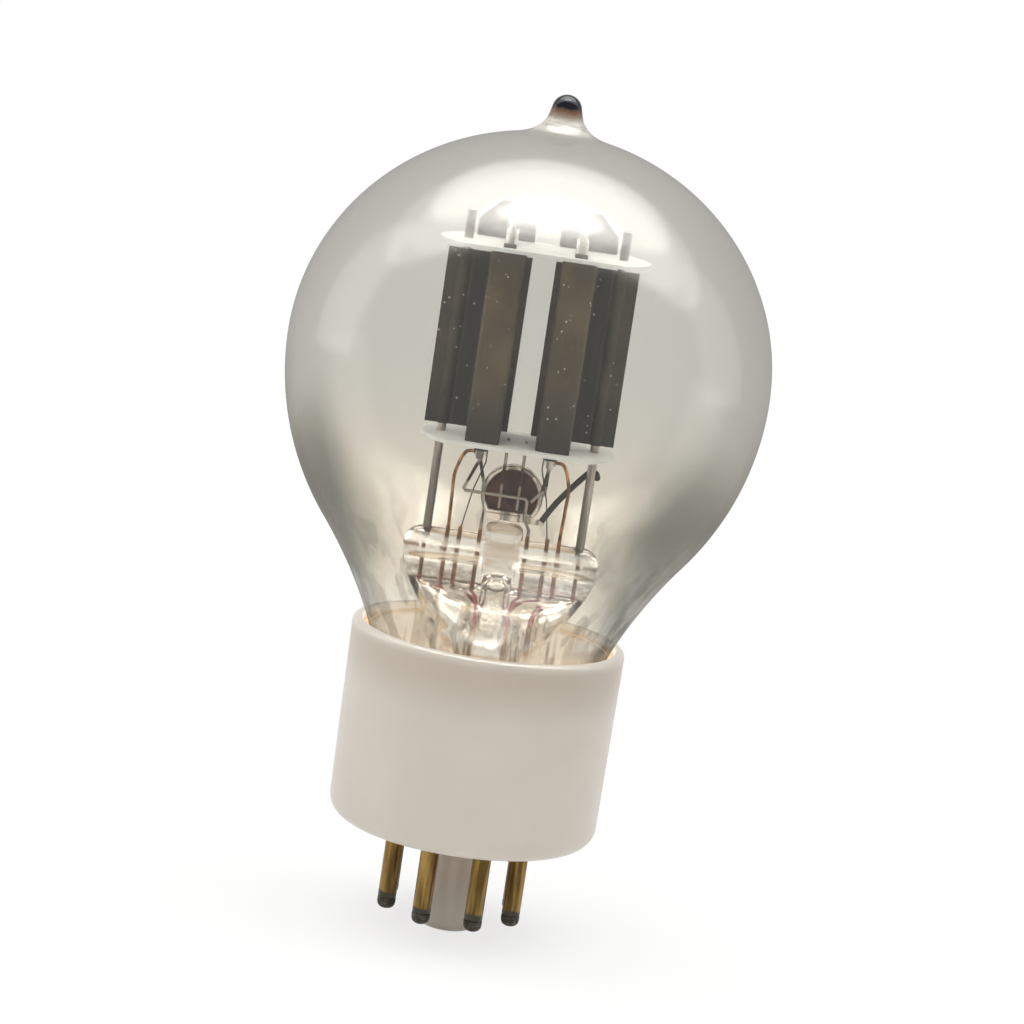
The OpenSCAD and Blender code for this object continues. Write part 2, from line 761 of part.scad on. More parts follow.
// One turn runs round one rod, along a side, round the other rod and back
function grid_path(x) = [
    for (turn = [0 : grid_turns - 1], cap = [0, 1], k = [0 : cap_steps])
        let (
            a = 180 * (cap + k / cap_steps),
            done = turn + (cap + k / (cap_steps + 1)) / 2
        )
        [x + grid_half_w * cos(a), (1 - 2 * cap) * cap_y + grid_half_w * sin(a),
            anode_z + grid_plain + grid_pitch * done]
];

first_path = grid_path(anode_x);
least_gap = min([
    for (i = [0 : len(first_path) - 1], j = [i + cap_steps : len(first_path) - 1])
        norm(first_path[i] - first_path[j])
]) - grid_wire_d;
echo(str("least gap between turns of a grid winding: ", least_gap, " mm"));

module grid_winding(s) {
    color(copper) wire(grid_path(side_sign(s) * anode_x), grid_wire_d, [0, 0, 1], 5);
}

module grid_fin(s) {
    low = cage_top_z + fin_gap;
    out = rod_x - rod_d / 2 - fin_rod_gap;
    color(carbon) mirror([side_sign(s) < 0 ? 1 : 0, 0, 0]) upright(fin_t, fin_y + fin_t / 2) polygon([
        [fin_in, low], [out, low], [out, low + fin_h - fin_chamfer],
        [out - fin_chamfer, low + fin_h], [fin_in, low + fin_h]
    ]);
}

// Route of a grid link from its press lead to the front grid rod, as shares of the way in, forwards and up
link_bows = [
    [0, 0, 0], [0, 0.04, 0.05], [-0.05, 0.38, 0.4], [-0.05, 0.54, 0.68], [0.4, 0.8, 0.95], [1, 1, 1]
];
module grid_link(s) {
    low = lead_top_z + seat;
    rise = lower_mica_z - grid_rod_below / 2 - low;
    touch = anode_x + grid_rod_d / 2 + wire_d / 2 + seat;
    route = [
        for (p = link_bows)
            [grid_lead_x + p.x * (touch - grid_lead_x), -p.y * grid_rod_y, low + p.z * rise]
    ];
    color(copper) mirror([side_sign(s) < 0 ? 1 : 0, 0, 0]) wire(smooth(route), wire_d);
}

// Ribbon from the inner side of a cathode sleeve down to its press lead
module cathode_link(s) {
    in = anode_x - cathode_w / 2 - seat;
    rest = getter_x + getter_d / 2 + link_clear;
    path = [
        [in, cathode_z + link_lap], [in, cathode_z - link_lap],
        [rest, getter_z], [cathode_lead_x, lead_top_z + seat]
    ];
    back = [for (i = [3 : -1 : 0]) path[i] - [link_t, 0]];
    color(carbon) mirror([side_sign(s) < 0 ? 1 : 0, 0, 0]) upright(link_w) polygon(concat(path, back));
}

function getter_post_y() = getter_y - post_d / 2 - seat;

module getter_post(s) {
    low = foot_z + strip_h + seat;
    color(nickel) translate([side_sign(s) * post_x, getter_post_y(), low])
        cylinder(d = post_d, h = lower_mica_z + mica_t + post_out - low);
}

// Turns a profile about an axis that runs back from the cup's mouth, and cuts the foot flat
module cup_turned() {
    difference() {
        translate([getter_x, getter_y, getter_z]) rotate([-90, 0, 0]) rotate_extrude() children();
        translate([getter_x - getter_d, getter_y - getter_depth, foot_z - getter_d])
            cube([2 * getter_d, 3 * getter_depth, getter_d]);
    }
}

module getter_cup() {
    r = getter_d / 2;
    color(nickel) cup_turned() polygon([
        [0, getter_depth], [r, getter_depth], [r, 0], [r - getter_wall, 0],
        [r - getter_wall, getter_depth - getter_wall], [0, getter_depth - getter_wall]
    ]);
}

module getter_fill() {
    r = getter_d / 2 - getter_wall - seat;
    back = getter_depth - getter_wall - seat;
    color("#5a2a22") cup_turned()
        polygon([[0, back], [r, back], [r, fill_edge * back], [0, fill_middle * back]]);
}

module getter_strip() {
    low = [getter_x - strip_left, foot_z - strip_h];
    color(nickel) upright(strip_t, getter_y + strip_t / 2)
        translate(low) square([strip_left + strip_right, strip_h - seat]);
}

module getter_strap() {
    start = [getter_x + strip_right - strap_w / 2, foot_z - strip_h / 2];
    end = [rod_x, lower_mica_z - strap_down];
    lean = unit(end - start);
    side = strap_w / 2 * [-lean.y, lean.x];
    tail = end + rod_d * lean;
    color("#262320") upright(strip_t, getter_y - strip_t / 2 - seat)
        polygon([start + side, start - side, tail - side, tail + side]);
}

// Bare heater ends start below the sleeves and run straight before they bend
tail_z = cathode_z - seat;
tail_straight = 0.8;
bus_bend = 0.3;
rear_y = getter_y + getter_depth + wire_d;
tail_gap = wire_d + seat;

module heater_bus_front() {
    strand_y = -heater_pitch / 2;
    route = [
        [-anode_x, strand_y, tail_z],
        [-anode_x, strand_y - seat, tail_z - tail_straight],
        [-bus_left, -bus_y, bus_z + bus_bend],
        [bus_bend - bus_left, -bus_y, bus_z],
        [bus_right - bus_bend, -bus_y, bus_z],
        [bus_right, -bus_y, bus_z - bus_bend],
        [bus_right, -bus_y, foot_z],
        [inner_lead_x, -seat, lead_top_z + tail_straight],
        [inner_lead_x, 0, lead_top_z + seat]
    ];
    color(nickel) wire(route, wire_d);
}

module heater_tail_right() {
    strand_y = -heater_pitch / 2;
    route = [
        [anode_x, strand_y, tail_z],
        [anode_x, strand_y - seat, tail_z - tail_straight],
        [anode_x - tail_gap, -bus_y, bus_z + 4 * bus_bend],
        [bus_right + tail_gap, -bus_y, bus_z - bus_bend]
    ];
    color(nickel) wire(route, wire_d);
}

module heater_bus_rear() {
    strand_y = heater_pitch / 2;
    route = [
        [anode_x, strand_y, tail_z],
        [anode_x, strand_y + seat, tail_z - tail_straight],
        [anode_x, rear_y, bus_z + bus_bend],
        [anode_x - bus_bend, rear_y, bus_z],
        [bus_bend - inner_lead_x, rear_y, bus_z],
        [-inner_lead_x, rear_y, bus_z - bus_bend],
        [-inner_lead_x, rear_y, foot_z],
        [-inner_lead_x, seat, lead_top_z + tail_straight],
        [-inner_lead_x, 0, lead_top_z + seat]
    ];
    color(nickel) wire(route, wire_d);
}

module heater_tail_left() {
    strand_y = heater_pitch / 2;
    route = [
        [-anode_x, strand_y, tail_z],
        [-anode_x, strand_y + seat, tail_z - tail_straight],
        [-inner_lead_x - tail_gap, rear_y, bus_z + 2 * bus_bend],
        [-inner_lead_x - tail_gap, rear_y, bus_z - bus_bend]
    ];
    color(nickel) wire(route, wire_d);
}

base_shell();
base_cement();
solder_tips();
bulb();
stem();
stem_tubulation();
for (i = pin_numbers) {
    contact_pin(i);
    press_lead(i);
}
lower_mica();
upper_mica();
for (s = sides) {
    support_rod(s);
    for (f = faces)
        anode(s, f);
    cathode(s);
    heater(s);
    grid_rods(s);
    grid_winding(s);
    grid_fin(s);
    grid_link(s);
    cathode_link(s);
    getter_post(s);
}
getter_cup();
getter_fill();
getter_strip();
getter_strap();
heater_bus_front();
heater_bus_rear();
heater_tail_left();
heater_tail_right();
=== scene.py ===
"""Looks of a globe vacuum tube on a ceramic eight-pin base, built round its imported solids."""

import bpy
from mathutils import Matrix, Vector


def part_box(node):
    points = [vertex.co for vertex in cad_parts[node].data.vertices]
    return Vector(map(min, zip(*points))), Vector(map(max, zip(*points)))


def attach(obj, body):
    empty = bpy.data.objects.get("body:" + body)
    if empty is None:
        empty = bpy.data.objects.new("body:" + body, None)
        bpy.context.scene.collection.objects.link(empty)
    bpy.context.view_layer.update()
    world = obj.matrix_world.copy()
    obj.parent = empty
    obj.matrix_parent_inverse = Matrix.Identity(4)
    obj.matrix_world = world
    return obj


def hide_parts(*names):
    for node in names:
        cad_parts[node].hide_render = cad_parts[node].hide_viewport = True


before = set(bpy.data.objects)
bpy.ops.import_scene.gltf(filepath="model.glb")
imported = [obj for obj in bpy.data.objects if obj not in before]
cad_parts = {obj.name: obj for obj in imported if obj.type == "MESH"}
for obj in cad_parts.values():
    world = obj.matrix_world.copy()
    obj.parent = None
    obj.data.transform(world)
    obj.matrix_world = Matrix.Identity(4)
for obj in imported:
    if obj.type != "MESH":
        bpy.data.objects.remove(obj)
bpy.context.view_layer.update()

import math

import bmesh
import bpy
from bpy.props import FloatProperty, FloatVectorProperty, IntProperty, PointerProperty
from mathutils import Matrix, Quaternion, Vector

bl_info = {
    "name": "Globe vacuum tube",
    "version": (1, 0, 0),
    "blender": (4, 5, 0),
    "location": "View3D > Sidebar > Tube",
    "description": "Models a globe vacuum tube with its base, stem, cage and getter",
    "category": "Object",
}

MM = 0.001
SIDES = {"left": -1, "right": 1}
PIN_COUNT = 8
WHITE = (1.0, 1.0, 1.0)

# Camera and stage, in metres, radians and watts. Each lamp has a name, a place, a width, a depth,
# a power and a use: it lights all, only what shines, or only what is matt.
CAMERA_PLACE = (0.0, -0.4, 0.1086)
CAMERA_AIM = (0.000609, 0.0, 0.041638)
CAMERA_ROLL = 0.1479
CAMERA_LENS = 111.97
CAMERA_NEAR = 0.01
LAMP_AIM = (0.0, 0.0, 0.05)
LAMPS = (
    ("lamp_top", (0.0, 0.0, 0.58), 1.3, 0.46, 3.2, "all"),
    ("lamp_dome", (0.0, 0.05, 0.57), 1.8, 0.54, 6.2, "shine"),
    ("lamp_crown", (0.0, 0.11, 0.565), 0.84, 0.42, 4.1, "shine"),
    ("lamp_core", (0.002, -0.05, 0.56), 0.5, 0.22, 1.5, "shine"),
    ("lamp_heart", (0.001, -0.03, 0.55), 0.32, 0.15, 1.2, "shine"),
    ("lamp_left", (-0.85, 0.2, 0.15), 0.45, 1.3, 2.8, "shine"),
    ("lamp_right", (0.85, 0.2, 0.15), 0.45, 1.3, 1.8, "shine"),
    ("lamp_front", (-0.5, -0.9, 0.9), 0.8, 0.8, 3.3, "fill"),
)
WORLD_FILL = 0.46
WORLD_TINT = (1.0, 0.985, 0.96)
FLOOR_SIZE = 6.0
FLOOR_GAP = 0.05 * MM
FLOOR_FADE = (0.06, 0.2)

# Sizes of the pieces, in millimetres. Turns are in degrees. Steps, shares of another size and
# the squareness of the stem's rings, ROUND and PRESSED, have no unit.
SEAT = 0.03
RIM_Z = 25.8
CAVITY_R = 16.25
BASE_FLOOR_Z = 3.2
BASE_DRAFT = 0.25
SPIGOT_R = 3.975
SPIGOT_CHAMFER = 0.8
SPIGOT_NOSE = 1.1
SPIGOT_FACE_IN = 0.2
SPIGOT_BOW = (0.1, 0.15)
SPIGOT_FILLET = 0.5
KEY_W = 2.2
KEY_OUT = 1.2
KEY_ROUND = 0.25
KEY_GAP = 0.02
RIM_INNER_EDGE = 0.3
CEMENT_SAG = 0.25
PIN_BORE_R = 0.75
PIN_TAPER = 0.12
PIN_TAPER_H = 0.15
PIN_EXIT_Z = -0.4
PIN_TOP_EDGE = 0.1
COLLAR_R = 1.6
COLLAR_H = 0.6
COLLAR_EDGE = 0.08
SOLDER_PLUG = 1.8
SOLDER_DOME = 0.95
SOLDER_SWELL = 0.015
SOLDER_SWELL_DOWN = 0.12
SOLDER_EDGE = 0.04
SOLDER_BOW = 0.98
NECK_AT_RIM_R = 15.8
NECK_BLEND_R = 8.0
NECK_END_Z = 8.5
SHOULDER_R = 36.0
HOLLOW_R = 62.0
CROWN_DROP = 0.95
TIP_FLARE = 6.4
TIP_WAIST = 1.08
TIP_WAIST_DOWN = 0.35
TIP_FOOT = 1.35
TIP_SINK = 0.05
STEM_R = 8.0
STEM_WALL = 0.95
FLARE_H = 6.5
FLANGE_T = 1.0
FLANGE_GAP = 0.01
FOLD_LOW = 22.5
FOLD_Z = 26.6
FOLD_HOLLOW = 4.9
FOLD_STEPS = 18
HOLLOW_LEAST = (0.5, 0.4)
PRESS_HALF = 12.6
PRESS_T = 3.2
PRESS_STEPS = 24
BAR_Z = 36.05
BAR_R = 2.3
BAR_UNDER = 1.7
BAR_TURN = (-46, 88)
BAR_STEPS = 14
BAR_INSET = 0.02
BAR_END_LEAST = 0.15
ROUND = 2.0
PRESSED = 3.6
COLUMN_R = 2.5
COLUMN_TOP = 40.15
COLUMN_EDGE = 1.0
COLUMN_SINK = 0.3
INNER_TUBE_R = 3.85
INNER_DOME_R = 1.9
INNER_WALL = 0.7
INNER_NECK = 0.04
DOME_Z = BAR_Z - BAR_R - INNER_DOME_R
ROD_X = 9.85
ANODE_X = 4.45
INNER_LEAD_X = 3.05
CATHODE_LEAD_X = 5.6
GRID_LEAD_X = 7.15
LEAD_TOP = BAR_Z + BAR_R + 0.5
LEAD_FOOT = 1.4
LEAD_RISE = 1.5
LEAD_UNDER_FOLD = 1.0
LEAD_INWARDS = (0.18, 0.2)
LEAD_STRAIGHT = 0.6
LEAD_RING_R = 5.45
LEAD_TURNS = (3.5, 4.5, 2.5, 5.5, 6.5, 1.5, 7.5, 0.5)
LEAD_X = (
    -ROD_X, -GRID_LEAD_X, -CATHODE_LEAD_X, -INNER_LEAD_X,
    INNER_LEAD_X, CATHODE_LEAD_X, GRID_LEAD_X, ROD_X,
)
GRID_ROD_Y = 4.9
GRID_ROD_D = 0.9
GRID_HALF_W = 1.25
ANODE_Z = 50.83
ANODE_LEN = 24.1
GRID_PLAIN = 1.0
LINK_UNDER_MICA = 0.9
LINK_BOWS = (
    (0, 0, 0), (0, 0.04, 0.05), (-0.05, 0.38, 0.4),
    (-0.05, 0.54, 0.68), (0.4, 0.8, 0.95), (1, 1, 1),
)
HEATER_PITCH = 3.0
TAIL_Z = 48.62
TAIL_STRAIGHT = 0.8
BUS_Z = 43.9
BUS_Y = 2.2
BUS_LEFT = 5.9
BUS_RIGHT = 2.3
BUS_BEND = 0.3
FOOT_Z = 41.25
REAR_Y = 2.345
TAIL_GAP = 0.48
CUP_WALL = 0.45
CUP_LIP = 0.32
CUP_ROUND = 0.8
ROD_EDGE = 0.2
STRAP_W = 0.8
STRAP_FLAT = 0.25
STRAP_ROUTE = (
    (4.45, -0.735, 41.05), (5.2, -0.70, 42.4), (6.05, -0.50, 43.75), (7.15, -0.20, 45.2),
    (8.3, 0.15, 46.6), (9.2, 0.50, 47.6), (9.85, 0.73, 48.1), (10.5, 0.55, 48.0),
    (10.7, 0.20, 47.5),
)

# Zones of the finishes, in millimetres: where each starts, is full, is last full and ends
# Painted shade under the rim
RIM_SHADE_BAND = (17.0, 23.5, 24.4, 25.4)
TIP_RINGS = (89.2, 89.7, 91.7, 92.2)
# The next three place painted reflections on the stem: two bands on the bar and the folds of the
# pinch
UPPER_BAND = (36.2, 36.5, 37.3, 37.6)
LOWER_BAND = (34.15, 34.5, 35.6, 35.95)
PINCH = (25.5, 26.5, 30.6, 31.6)
SEAL_LINE = (30.9, 31.4, 33.4, 33.9)
# Box fronts lighter with painted light, and recesses with painted shade
ANODE_BOX = (53.0, 63.0, 75.0, 75.6)
ANODE_RECESS = (6.7, 7.2, 8.5, 9.0)
SEALED_LEAD = (27.0, 28.0, 31.4, 32.6)
WELD_BURN = (44.9, 45.4, 47.3, 47.9)

# Ramps of the finishes, in millimetres: how wide, or where each starts and ends
GLOW_EDGE = 0.3
# Painted shade on the spigot, and where it fades
SPIGOT_SHADE = (-2.0, 0.4)
SPIGOT_FADE = (-12.5, -5.0)
# Where the painted glow inside the base dims towards the rim
RIM_SHADE = (24.2, 25.0)
# Where the cement's face glows with painted light
CEMENT_GLOW_FACE = (24.0, 25.2)
# Painted light: clearer glass where the neck meets the base
LIT_NECK_GLASS = (24.5, 32.0)
NECK_GLASS = (27.0, 46.0)
# Painted light: clearer, warmer glass in the lower half of the bulb
LIT_LOWER_GLASS = (34.0, 60.0)
LOW_GLASS = (43.0, 62.0)
# Painted shade on the right side of the bulb's outline
RIGHT_SHADE_ACROSS = (-15.0, 20.0)
DARK_ACROSS = (8.0, 28.0)
RINGS_OUT = (3.2, 5.0)
TIP_SCORCH = (91.7, 93.2)
TIP_BURN = (92.9, 93.7)
# Painted reflections at the foot of the stem
STEM_FOOT = (25.5, 27.5)
COLUMN_FOOT = (33.5, 35.0)
BOX_SIDE = (6.5, 7.0)
ANODE_FOOT = (50.0, 59.0)
# Painted shade on the rods above the cage
SHADE_ABOVE_CAGE = (75.0, 76.5)


def low(node):
    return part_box(node)[0]


def high(node):
    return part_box(node)[1]


def length(name, default, description):
    return FloatProperty(
        name=name, description=description, default=default, min=0.0, unit="LENGTH", precision=5
    )


def tint(name, default, description):
    return FloatVectorProperty(
        name=name, description=description, default=default,
        size=3, min=0.0, max=1.0, subtype="COLOR",
    )


class TubeSizes(bpy.types.PropertyGroup):
    """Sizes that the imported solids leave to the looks"""

    globe_r: length("Globe radius", high("bulb").x, "Outer radius of the globe")
    globe_z: length("Globe height", 60.3 * MM, "Height of the globe's centre")
    glass_wall: length("Glass wall", 1.0 * MM, "Wall of the bulb")
    tip_d: length("Tip width", 3.8 * MM, "Width of the tip's dome")
    foot_round: length("Foot rounding", 2.4 * MM, "Rounding of the base's bottom edge")
    rim_round: length("Rim rounding", 0.7 * MM, "Rounding of the base's rim")
    pin_circle: length("Pin circle", 17.45 * MM, "Diameter of the circle of pins")
    pin_d: length("Pin width", 2.36 * MM, "Diameter of a pin")
    lead_d: length("Lead width", 0.55 * MM, "Diameter of the press leads")
    wire_d: length("Wire width", 0.45 * MM, "Diameter of the heater and grid wires")
    grid_wire_d: length("Grid wire width", 0.3 * MM, "Diameter of the wound grid wire")
    grid_turns: IntProperty(
        name="Grid turns", description="Turns in each grid winding", default=18, min=8, max=22
    )


class TubeColours(bpy.types.PropertyGroup):
    """Colours of the tube's materials"""

    ceramic: tint("Ceramic", (0.61, 0.555, 0.485), "Warm white of the base")
    cement: tint("Cement", (0.56, 0.36, 0.16), "Tan of the cement in the rim")
    brass: tint("Brass", (0.245, 0.155, 0.05), "Tarnished brass of the pins")
    solder: tint("Solder", (0.032, 0.029, 0.021), "Oxidised solder on the pins")
    glass: tint("Glass", (0.735, 0.725, 0.69), "Light that the wall of the bulb lets through")
    glass_low: tint("Lower glass", (0.865, 0.808, 0.715), "The same, in the lower half of the bulb")
    glass_edge: tint("Glass edge", (0.56, 0.555, 0.535), "The same, where the wall is seen edge on")
    low_edge: tint("Lower edge", (0.40, 0.395, 0.36), "The same, in the lower half of the bulb")
    glass_neck: tint("Neck glass", (0.96, 0.945, 0.915), "The same, where the neck meets the base")
    burnt: tint("Burnt glass", (0.006, 0.008, 0.014), "Burnt end of the tip")
    scorched: tint("Scorched glass", (0.20, 0.085, 0.03), "Scorched band under it")
    drawn: tint("Drawn glass", (0.72, 0.68, 0.60), "Milky rings under the scorched band")
    mica: tint("Mica", (0.90, 0.90, 0.88), "White of the spacer plates")
    nickel: tint("Nickel", (0.46, 0.42, 0.37), "Nickel of rods and cup")
    carbon: tint("Carbonised sheet", (0.050, 0.039, 0.024), "Dark grey of the anodes")
    copper: tint("Copper", (0.42, 0.21, 0.09), "Copper of grid wires and links")
    sealing: tint("Sealing wire", (0.38, 0.035, 0.03), "Red of the sealed part of a lead")
    ribbon: tint("Dark ribbon", (0.007, 0.006, 0.005), "Black of strap and ribbons")
    powder: tint("Getter powder", (0.085, 0.020, 0.012), "Dark red of the fired getter")
    coating: tint("Coating", (0.74, 0.73, 0.70), "White of cathodes and heaters")


def sizes():
    return bpy.context.scene.tube_sizes


def colours():
    return bpy.context.scene.tube_colours


class Val:
    """A shader value: arithmetic on it adds the maths nodes"""

    def __init__(self, finish, socket):
        self.finish = finish
        self.socket = socket

    def maths(self, operation, *values):
        node = self.finish.node("ShaderNodeMath", {"operation": operation}, *values)
        return self.finish.value(node)

    def __add__(self, other):
        return self.maths("ADD", self, other)

    def __radd__(self, other):
        return self.maths("ADD", other, self)

    def __sub__(self, other):
        return self.maths("SUBTRACT", self, other)

    def __rsub__(self, other):
        return self.maths("SUBTRACT", other, self)

    def __mul__(self, other):
        return self.maths("MULTIPLY", self, other)

    def __rmul__(self, other):
        return self.maths("MULTIPLY", other, self)

    def __pow__(self, other):
        return self.maths("POWER", self, other)

    def most(self, other):
        return self.maths("MAXIMUM", self, other)

    def size(self):
        return self.maths("ABSOLUTE", self)

    def step(self, start, end):
        """0 below start, 1 above end, and smooth between them"""
        settings = {"interpolation_type": "SMOOTHSTEP"}
        return self.finish.value(self.finish.node(
            "ShaderNodeMapRange", settings, Value=self, From_Min=start, From_Max=end
        ))

    def under(self, start, end):
        """1 below start, 0 above end, and smooth between them"""
        return 1.0 - self.step(start, end)

    def zone(self, start, full, last, end):
        """1 from full to last, 0 before start and after end, and smooth between them"""
        return self.step(start, full) * self.under(last, end)


class Finish:
    """The nodes of a material or of the world"""

    def __init__(self, owner, output="ShaderNodeOutputMaterial"):
        owner.use_nodes = True
        self.owner = owner
        self.tree = owner.node_tree
        self.tree.nodes.clear()
        self.output = self.node(output)

    def node(self, kind, settings=None, *values, **named):
        """Adds a node, sets its settings, then its sockets by place and by name"""
        node = self.tree.nodes.new(kind)
        for key, value in (settings or {}).items():
            setattr(node, key, value)
        for socket, value in zip(node.inputs, values):
            self.feed(socket, value)
        sockets = {socket.identifier.replace(" ", "_"): socket for socket in node.inputs}
        for name, value in named.items():
            self.feed(sockets[name], value)
        return node

    def feed(self, socket, value):
        """Links a socket to a value or a socket, or sets its number or colour"""
        if isinstance(value, Val):
            value = value.socket
        if isinstance(value, bpy.types.NodeSocket):
            self.tree.links.new(value, socket)
        elif socket.type == "RGBA":
            socket.default_value = (*value, 1.0)
        else:
            socket.default_value = value

    def value(self, node, output=0):
        return Val(self, node.outputs[output])

    def rays(self, *kinds):
        """1 on rays of the kinds that are named"""
        path = self.node("ShaderNodeLightPath")
        found = [self.value(path, "Is %s Ray" % kind) for kind in kinds]
        any_of = found[0]
        for other in found[1:]:
            any_of = any_of.most(other)
        return any_of

    def facing(self):
        """0 where a face is seen from the front, 1 where it is seen edge on"""
        return self.value(self.node("ShaderNodeLayerWeight", None, 0.5), "Facing")

    def spot(self):
        """Object coordinates"""
        return self.node("ShaderNodeTexCoord").outputs["Object"]

    def place(self, scale=(1.0, 1.0, 1.0)):
        """Object coordinates, stretched by scale"""
        return self.node("ShaderNodeMapping", None, Vector=self.spot(), Scale=scale).outputs[0]

    def reach(self, spot):
        """Distance of a place from the origin"""
        return self.value(self.node("ShaderNodeVectorMath", {"operation": "LENGTH"}, spot), "Value")

    def along(self, axis):
        """Place along one axis in millimetres"""
        split = self.node("ShaderNodeSeparateXYZ", None, self.spot())
        return self.value(split, axis) * (1.0 / MM)

    def height(self):
        return self.along("Z")

    def radius(self):
        """Distance from the tube's axis in millimetres"""
        return self.reach(self.place((1.0, 1.0, 0.0))) * (1.0 / MM)

    def noise(self, scale, detail=3.0, stretch=(1.0, 1.0, 1.0), rough=0.5):
        node = self.node(
            "ShaderNodeTexNoise", None,
            Vector=self.place(stretch), Scale=scale, Detail=detail, Roughness=rough,
        )
        return self.value(node)

    def specks(self, scale, share):
        """1 on small round specks, spread with one in each cell"""
        node = self.node("ShaderNodeTexVoronoi", None, Vector=self.place(), Scale=scale)
        return self.value(node, "Distance").under(share * 0.6, share)

    def mix(self, factor, a, b, way="MIX"):
        """Colour between a and b"""
        settings = {"data_type": "RGBA", "blend_type": way}
        node = self.node("ShaderNodeMix", settings, Factor_Float=factor, A_Color=a, B_Color=b)
        return next(socket for socket in node.outputs if socket.identifier == "Result_Color")

    def tinted(self, colour, tint):
        """Colour multiplied by a tint"""
        return self.mix(1.0, colour, tint, "MULTIPLY")

    def bump(self, height, strength, distance):
        return self.node(
            "ShaderNodeBump", None, Height=height, Strength=strength, Distance=distance
        ).outputs[0]

    def surface(self, **inputs):
        return self.node("ShaderNodeBsdfPrincipled", None, **inputs).outputs[0]

    def sheen(self, rough, normal):
        return self.node(
            "ShaderNodeBsdfGlossy", None, Color=(0.97, 0.95, 0.91), Roughness=rough, Normal=normal
        ).outputs[0]

    def clear(self, colour):
        """Thin glass that lets light of one colour straight through"""
        return self.node("ShaderNodeBsdfTransparent", None, colour).outputs[0]

    def blend(self, factor, a, b):
        """Shader between a and b"""
        return self.node("ShaderNodeMixShader", None, factor, a, b).outputs[0]

    def show(self, shader):
        self.feed(self.output.inputs["Surface"], shader)
        return self.owner


def new_finish(name):
    return Finish(bpy.data.materials.new(name))


def shade(colour, times):
    return tuple(min(1.0, c * times) for c in colour)


def ceramic_finish():
    """Glazed ceramic, with a warmer painted shade under the rim and on the spigot, and a painted
    glow inside the thin wall that stands in for light
    """
    f = new_finish("glazed_ceramic")
    c = colours().ceramic
    z = f.height()
    clouds = f.noise(60.0, 3.0)
    grain = f.noise(900.0, 2.0)
    colour = f.mix(clouds.step(0.35, 0.7), shade(c, 0.965), shade(c, 1.03))
    # Painted shade: a darker, warmer band under the rim and on the top of the spigot under the
    # base, fading down the spigot
    rim_and_spigot_shade = z.zone(*RIM_SHADE_BAND) * 0.75
    rim_and_spigot_shade = rim_and_spigot_shade.most(z.under(*SPIGOT_SHADE) * (0.3 + 0.5 * z.step(*SPIGOT_FADE)))
    colour = f.mix(rim_and_spigot_shade, colour, f.tinted(colour, (0.78, 0.73, 0.66)))
    # Painted light: the inside of the base, seen through the glass, glows in place of the light
    # that reaches it; the glow dims towards the rim
    inside = f.radius().under(CAVITY_R, CAVITY_R + GLOW_EDGE)
    inside = inside * z.step(BASE_FLOOR_Z - GLOW_EDGE, BASE_FLOOR_Z)
    inside = inside * (1.0 - 0.35 * z.step(*RIM_SHADE))
    return f.show(f.surface(
        Base_Color=colour,
        Roughness=0.32 + 0.12 * grain,
        Coat_Weight=0.25,
        Coat_Roughness=0.25,
        Emission_Color=f.mix(inside, (0.0, 0.0, 0.0), shade(c, 1.1)),
        Emission_Strength=1.1,
        Normal=f.bump(f.noise(420.0, 2.0), 0.05, 0.0004),
    ))


def cement_finish():
    """Tan cement, made pale and glowing with painted light where it is seen through the neck"""
    f = new_finish("tan_cement")
    c = colours().cement
    lumps = f.noise(700.0, 5.0)
    # Painted light: the face seen through the neck is pale and glows in place of the light that
    # falls on it
    behind = f.height().under(*CEMENT_GLOW_FACE)
    tan = f.mix(lumps.step(0.3, 0.7), shade(c, 0.65), shade(c, 1.25))
    pale = colours().ceramic
    return f.show(f.surface(
        Base_Color=f.mix(behind, tan, pale),
        Roughness=0.9,
        Emission_Color=f.mix(behind, shade(c, 0.5), pale),
        Emission_Strength=1.1,
        Normal=f.bump(lumps, 0.6, 0.0006),
    ))


def brass_finish():
    """Tarnished brass with the drawing marks of a tube, dipped in solder at its end"""
    f = new_finish("tarnished_brass")
    c = colours().brass
    stains = f.noise(500.0, 4.0, (1.0, 1.0, 0.25))
    scratches = f.noise(2600.0, 2.0, (1.0, 1.0, 0.04))
    end = low("contact_pin_1").z / MM
    dipped = (f.height() - 1.3 * f.noise(450.0, 2.0)).under(end + 0.05, end + 0.35)
    brass = f.mix(stains.step(0.35, 0.68), shade(c, 0.42), shade(c, 1.25))
    brass = f.mix(scratches.step(0.45, 0.7) * 0.5, brass, shade(c, 1.9))
    return f.show(f.surface(
        Base_Color=f.mix(dipped, brass, shade(colours().solder, 1.6)),
        Metallic=1.0 - 0.45 * dipped,
        Roughness=0.24 + 0.28 * stains,
        Normal=f.bump(scratches, 0.12, 0.0001),
    ))


def solder_finish():
    f = new_finish("grey_solder")
    c = colours().solder
    lumps = f.noise(1300.0, 4.0)
    return f.show(f.surface(
        Base_Color=f.mix(lumps.step(0.4, 0.75), c, shade(c, 3.4)),
        Metallic=0.55,
        Roughness=0.42 + 0.25 * lumps,
        Normal=f.bump(lumps, 0.5, 0.0003),
    ))


